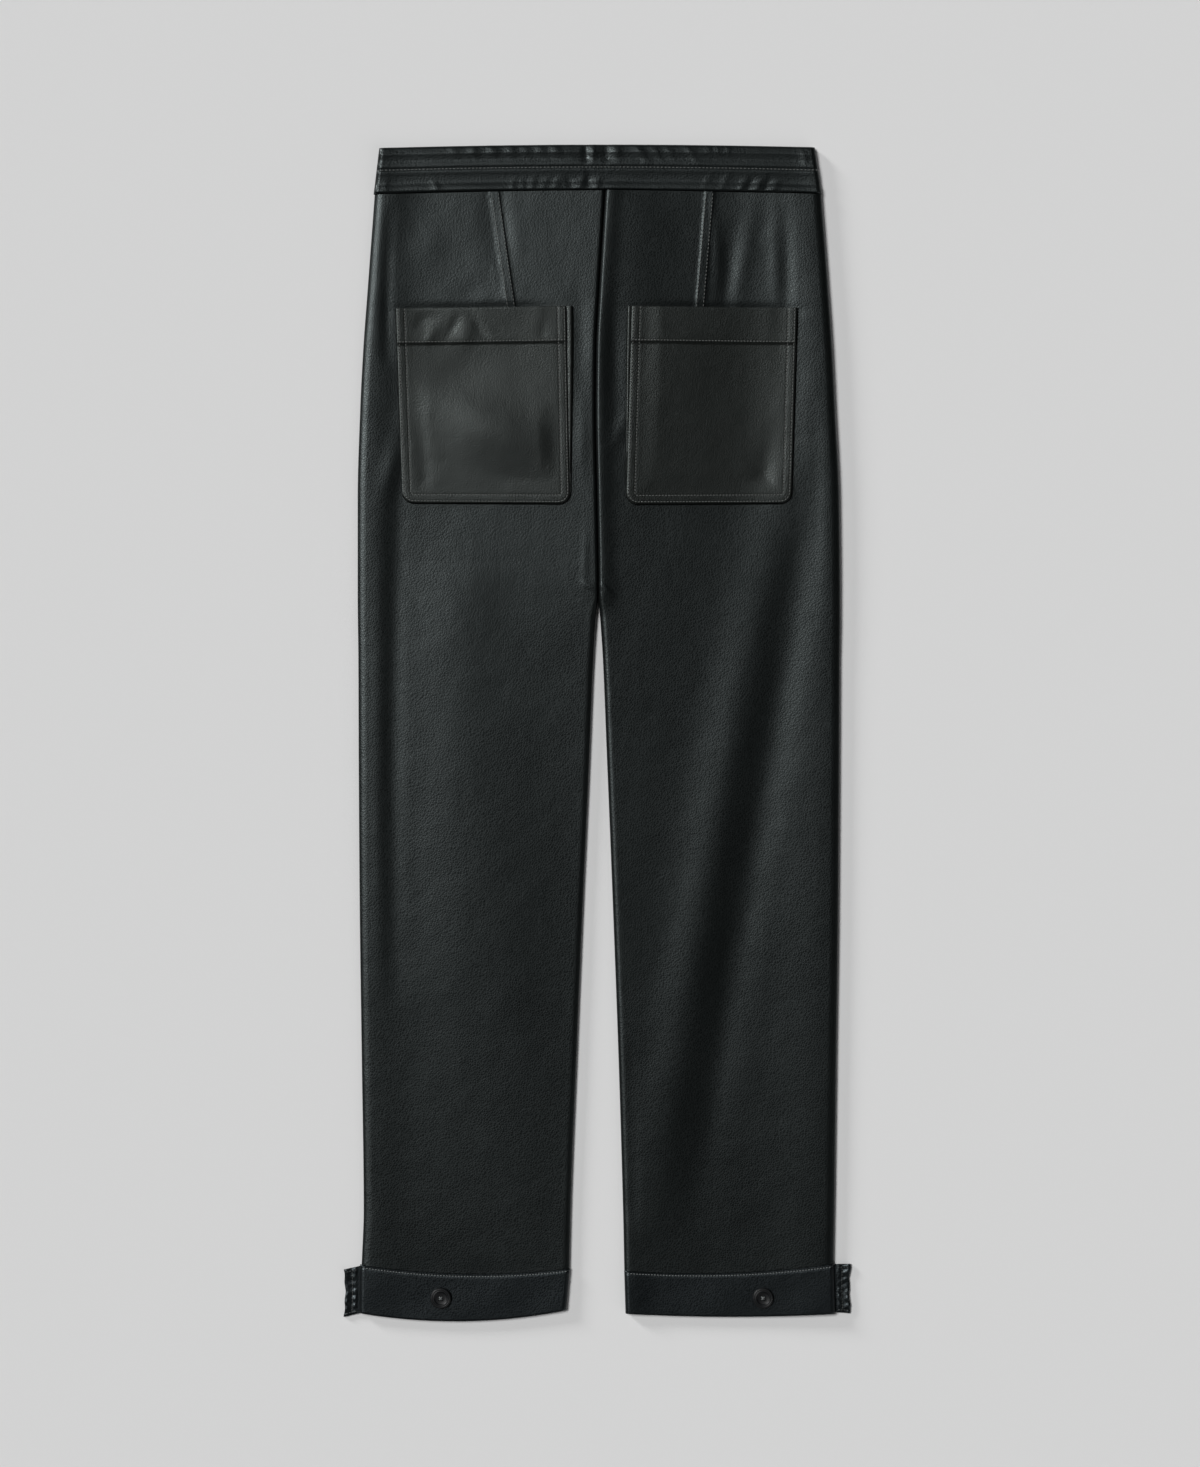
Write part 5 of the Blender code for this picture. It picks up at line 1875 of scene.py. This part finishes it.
    def build_button(self, finishes: Wardrobe) -> bpy.types.Object:
        """The turned button: a dished middle, a raised rim with rings, and four drilled holes.

        Args:
            finishes: the garment's materials.

        Returns:
            The piece.
        """
        x, y = self.button_at
        low, high = (np.array(corner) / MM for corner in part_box(f"button_{self.side.value}"))
        rest = low[2]
        steps = self.button_sides
        turn = np.arange(steps) * 2 * math.pi / steps
        body = np.array(self.rim)
        radius, height = body[:, :1], body[:, 1:]
        points = np.stack([radius * np.cos(turn), radius * np.sin(turn), height + 0 * turn], axis=-1)
        index = np.arange(len(body) * steps).reshape(len(body), steps)
        following = np.roll(index, -1, axis=1)
        quads = np.stack([index[:-1], index[1:], following[1:], following[:-1]], axis=-1).reshape(-1, 4)
        mesh = bpy.data.meshes.new(f"cuff_button_{self.side.value}")
        faces = quads.tolist() + [index[0].tolist(), index[-1][::-1].tolist()]
        mesh.from_pydata((points.reshape(-1, 3) * MM).tolist(), [], faces)
        mesh.transform(Matrix.Translation((x * MM, y * MM, rest * MM)))
        button = bpy.data.objects.new(mesh.name, mesh)
        bpy.context.scene.collection.objects.link(button)
        drills = self._drills(rest + high[2] - low[2])
        cut = button.modifiers.new("holes", "BOOLEAN")
        cut.operation = "DIFFERENCE"
        cut.object = drills
        made = _applied(button)
        bpy.data.objects.remove(drills)
        made.data.shade_smooth()
        made.data.set_sharp_from_angle(angle=math.radians(40))
        made.data.materials.append(finishes.resin)
        return wear(made, "button_resin", f"button_{self.side.value}")

    def hole_centres(self) -> Array:
        """Plan places of the button's four holes."""
        turn = np.radians(45 + 90 * np.arange(4))
        return np.array(self.button_at) + self.hole_pitch * np.stack([np.cos(turn), np.sin(turn)], axis=-1)

    def _drills(self, top: float) -> bpy.types.Object:
        """One mesh of four upright cylinders, to cut the holes with.

        Args:
            top: z of the button's top.

        Returns:
            The cutter.
        """
        sides = self.drill_sides
        turn = np.arange(sides) * 2 * math.pi / sides
        circle = self.hole_radius * np.stack([np.cos(turn), np.sin(turn)], axis=-1)
        points, faces = [], []
        for i, centre in enumerate(self.hole_centres()):
            for reach in self.drill_span:
                points += [(*(centre + spoke), top + reach) for spoke in circle]
            low = np.arange(sides) + 2 * sides * i
            high = low + sides
            faces += np.stack([low, np.roll(low, -1), np.roll(high, -1), high], axis=-1).tolist()
            faces += [low[::-1].tolist(), high.tolist()]
        mesh = bpy.data.meshes.new("drills")
        mesh.from_pydata((np.array(points) * MM).tolist(), [], faces)
        made = bpy.data.objects.new("drills", mesh)
        bpy.context.scene.collection.objects.link(made)
        return made

    def button_thread(self, finishes: Wardrobe) -> bpy.types.Object:
        """Two crossed strands over the button, which run down through its holes.

        Args:
            finishes: the garment's materials.

        Returns:
            The piece.
        """
        holes = self.hole_centres()
        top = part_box(f"button_{self.side.value}")[1][2] / MM - self.thread_below_top
        t = np.linspace(0, 1, 14)
        strands = []
        for start, end, over in ((holes[0], holes[2], 0.0), (holes[1], holes[3], self.thread_cross)):
            arch = top + (self.thread_rise + over) * np.sin(math.pi * t)
            arch = arch - self.thread_drop * (np.abs(2 * t - 1) ** 8)
            for apart in (-self.thread_apart, self.thread_apart):
                across = unit((end - start)[::-1] * [-1, 1]) * apart
                plan = start + (end - start) * t[:, None] + across
                strands.append(np.concatenate([plan, arch[:, None]], axis=1))
        made = tubes(f"button_thread_{self.side.value}", np.array(strands), self.thread_radius)
        made.data.materials.append(finishes.grey_thread)
        return wear(made, "button_resin")

    def stitches(self, finishes: Wardrobe) -> bpy.types.Object:
        """The row of lighter stitches that joins the cuff to the leg.

        Args:
            finishes: the garment's materials.

        Returns:
            The piece.
        """
        form, way = self.form, self.side.inward
        x = np.linspace(form.outer[0] + way * 2.5, form.inner[0] - way * 2.5, 160)
        stitches = Stitching(pitch=2.6, length=2.0).row(self.place, x, np.full_like(x, self.stitch_share))
        made = stitches.build(f"cuff_stitches_{self.side.value}", finishes.grey_thread)
        return wear(made, "faux_leather")

    def tab_stitches(self, finishes: Wardrobe) -> bpy.types.Object:
        """The tab's own rows: down its middle and along its upper and lower edges.

        Args:
            finishes: the garment's materials.

        Returns:
            The piece.
        """
        down = np.linspace(0.08, 0.92, 40)
        out = np.linspace(0.34, 0.92, 12)
        stitches = Stitching(pitch=2.4, length=1.8, thick=0.42)
        stitches.row(self.tab_place, np.full_like(down, 0.6), down)
        for edge in (0.06, 0.94):
            stitches.row(self.tab_place, out, np.full_like(out, edge))
        made = stitches.build(f"tab_stitches_{self.side.value}", finishes.dark_thread_with_painted_highlight)
        return wear(made, "faux_leather")


def _applied(piece: bpy.types.Object) -> bpy.types.Object:
    """The piece with its modifiers applied to its mesh.

    Args:
        piece: the piece, with its modifiers.

    Returns:
        The same piece.
    """
    depsgraph = bpy.context.evaluated_depsgraph_get()
    mesh = bpy.data.meshes.new_from_object(piece.evaluated_get(depsgraph))
    piece.modifiers.clear()
    piece.data = mesh
    return piece


def tubes(name: str, lines: Array, radius: float, sides: int = 8) -> bpy.types.Object:
    """Round strands along lines: a circle carried square to each line, closed at its ends.

    Args:
        name: the piece's name.
        lines: the strands' points, in millimetres: strand, point, xyz.
        radius: the strands' radius.
        sides: the circle's sides, an even number.

    Returns:
        The piece.
    """
    ahead = unit(np.gradient(lines, axis=1))
    # The small offset keeps the cross product off zero where a strand runs straight down.
    side = unit(np.cross(ahead, np.array([0.0, 0.0, 1.0]) + 1e-3))
    up = np.cross(side, ahead)
    turn = np.arange(sides) * 2 * math.pi / sides
    spoke = side[:, :, None] * np.cos(turn)[:, None] + up[:, :, None] * np.sin(turn)[:, None]
    points = lines[:, :, None] + spoke * radius
    strands, steps = lines.shape[:2]
    return link_mesh(name, points.reshape(-1, 3), strand_quads(steps, sides, strands))


# ---------------------------------------------------------------- studio


@dataclass
class Studio:
    """The pale floor, the soft lights and the camera straight above."""

    floor_grey: float = 0.67
    floor_half: float = 30000.0
    floor_z: float = -0.3
    world_strength: float = 0.028
    suns: tuple[tuple[str, float, float, float, float], ...] = (
        # name, azimuth, elevation, spread, strength
        ("key", 150.0, 60.0, 24.0, 2.5),
        ("rake", 142.0, 14.0, 12.0, 2.3),
        ("back", 315.0, 18.0, 60.0, 0.7),
    )
    camera_height: float = 3050.0
    lens: float = 85.0
    centre: tuple[float, float] = (2.4, -0.4)

    def floor(self) -> bpy.types.Object:
        """A wide matt sheet of pale paper.

        Returns:
            The floor.
        """
        made, nodes, shader = blank_material("studio_paper")
        place = nodes.add("ShaderNodeTexCoord").outputs["Object"]
        fibre = nodes.add("ShaderNodeTexNoise", Vector=place, Scale=400.0, Detail=2.0)
        bump = nodes.add("ShaderNodeBump", Distance=0.02 * MM, Height=fibre.outputs["Fac"])
        nodes.tree.links.new(bump.outputs["Normal"], shader.inputs["Normal"])
        shader.inputs["Base Color"].default_value = (self.floor_grey,) * 3 + (1,)
        shader.inputs["Roughness"].default_value = 0.95
        shader.inputs["Specular IOR Level"].default_value = 0.1
        half, z = self.floor_half, self.floor_z
        points = np.array([(-half, -half, z), (half, -half, z), (half, half, z), (-half, half, z)])
        floor = link_mesh("floor", points, np.array([[0, 1, 2, 3]]))
        floor.data.materials.append(made)
        return floor

    def sun(self, name: str, azimuth: float, elevation: float, spread: float, strength: float) -> None:
        """A soft directional light.

        Args:
            name: the light's name.
            azimuth: degrees from +X, anticlockwise, to where it shines from.
            elevation: degrees above the floor.
            spread: its angular size in degrees.
            strength: its power in watts for each square metre.
        """
        light = bpy.data.lights.new(name, "SUN")
        light.energy = strength
        light.angle = math.radians(spread)
        made = bpy.data.objects.new(name, light)
        made.rotation_euler = (0, math.radians(90 - elevation), math.radians(azimuth))
        bpy.context.scene.collection.objects.link(made)

    def world(self, strength: float) -> None:
        """The even grey light all round.

        Args:
            strength: the light's strength.
        """
        world = bpy.data.worlds.new("studio")
        world.use_nodes = True
        background = world.node_tree.nodes["Background"]
        background.inputs["Color"].default_value = (0.96, 1.0, 1.0, 1)
        background.inputs["Strength"].default_value = strength
        bpy.context.scene.world = world

    def camera(self) -> None:
        """The camera straight above, its frame's long side along Y."""
        data = bpy.data.cameras.new("camera")
        data.lens = self.lens
        data.sensor_width = 36.0
        made = bpy.data.objects.new("camera", data)
        made.location = (self.centre[0] * MM, self.centre[1] * MM, self.camera_height * MM)
        bpy.context.scene.collection.objects.link(made)
        bpy.context.scene.camera = made

    def build(self) -> None:
        """The floor, lights, world and camera."""
        self.floor()
        self.camera()
        self.world(self.world_strength)
        for sun in self.suns:
            self.sun(*sun)
        bpy.context.scene.view_settings.view_transform = "Standard"


# ---------------------------------------------------------------- the whole


# Each pocket's top corners, bottom corners, and how far its gusset shows.
PATCHES = {
    Side.LEFT: ((-176.5, 373.0, -27.5, 374.6), (-171.0, 202.4, -24.2, 201.6), (1.2, 0.8, 6.0)),
    Side.RIGHT: ((30.6, 374.6, 175.0, 373.2), (25.8, 201.2, 170.4, 202.0), (4.4, 0.8, 1.4)),
}
# Each patch's own soft folds.
PATCH_WAVES = {
    Side.LEFT: (
        # the mouth's band
        Ripple(-157, 361, 20, 14, 7, -0.7),
        Ripple(-146, 349, 60, 9, 5, 0.4),
        Ripple(-127, 356, 60, 12, 4, -0.35),
        Ripple(-104, 356, 120, 12, 4, -0.35),
        Ripple(-116, 350, 90, 10, 7, 0.5),
        Ripple(-46, 354, 80, 10, 6, -0.3),
        # the body: a broad fold that slants down to the right
        Ripple(-100, 376, 0, 62, 22, 0.9),
        Ripple(-92, 268, -22, 52, 21, 1.8),
        Ripple(-92, 258, -10, 58, 32, 1.1),
        Ripple(-112, 318, 20, 26, 16, -0.4),
        Ripple(-70, 222, -12, 40, 10, -0.5),
        Ripple(-156, 240, 95, 40, 8, -0.6),
    ),
    Side.RIGHT: (
        Ripple(146, 220, 68, 34, 12, -0.8),
        Ripple(36, 240, 90, 36, 10, 0.3),
        Ripple(100, 380, 0, 62, 50, 1.4),
        Ripple(66, 290, 90, 90, 44, 0.8),
    ),
}
# Each cuff's tab, as x of its tip, y of its root and y of its tip, and its button's place.
CUFF_ENDS = {
    Side.LEFT: (-223.0, (-468.2, -509.6), (-472.2, -513.8), (-137.5, -496.5)),
    Side.RIGHT: (222.9, (-467.4, -509.4), (-467.2, -510.6), (145.6, -496.4)),
}


def build_garment() -> dict[str, bpy.types.Object]:
    """Builds every piece of the trousers.

    Returns:
        The cloth pieces by name.
    """
    finishes = Wardrobe()
    made: list[bpy.types.Object] = []
    band = Waistband()
    made.append(band.build_back(finishes))
    made.append(band.stitches(finishes))
    for side in Side:
        leg = BackLeg(side)
        pocket = Pocket(side, leg, *PATCHES[side], PATCH_WAVES[side])
        cuff = Cuff(side, *CUFF_ENDS[side])
        made += [leg.build(finishes), leg.dart_stitches(finishes), FrontLeg(side).build(finishes)]
        made += [band.build_front(side, finishes), pocket.build_gusset(finishes)]
        made += [pocket.build_patch(finishes), pocket.stitches(finishes)]
        made += [cuff.build_back(finishes), cuff.build_front(finishes), cuff.build_tab(finishes)]
        made += [cuff.tab_stitches(finishes), cuff.stitches(finishes)]
        made += [cuff.build_button(finishes), cuff.button_thread(finishes)]
    return {piece.name: piece for piece in made}


def main() -> None:
    """Loads the frame, and builds the garment and the studio round it."""
    logging.basicConfig(level=logging.INFO, format="%(name)s %(message)s")
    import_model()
    pieces = build_garment()
    Studio().build()


if __name__ == "__main__":
    main()
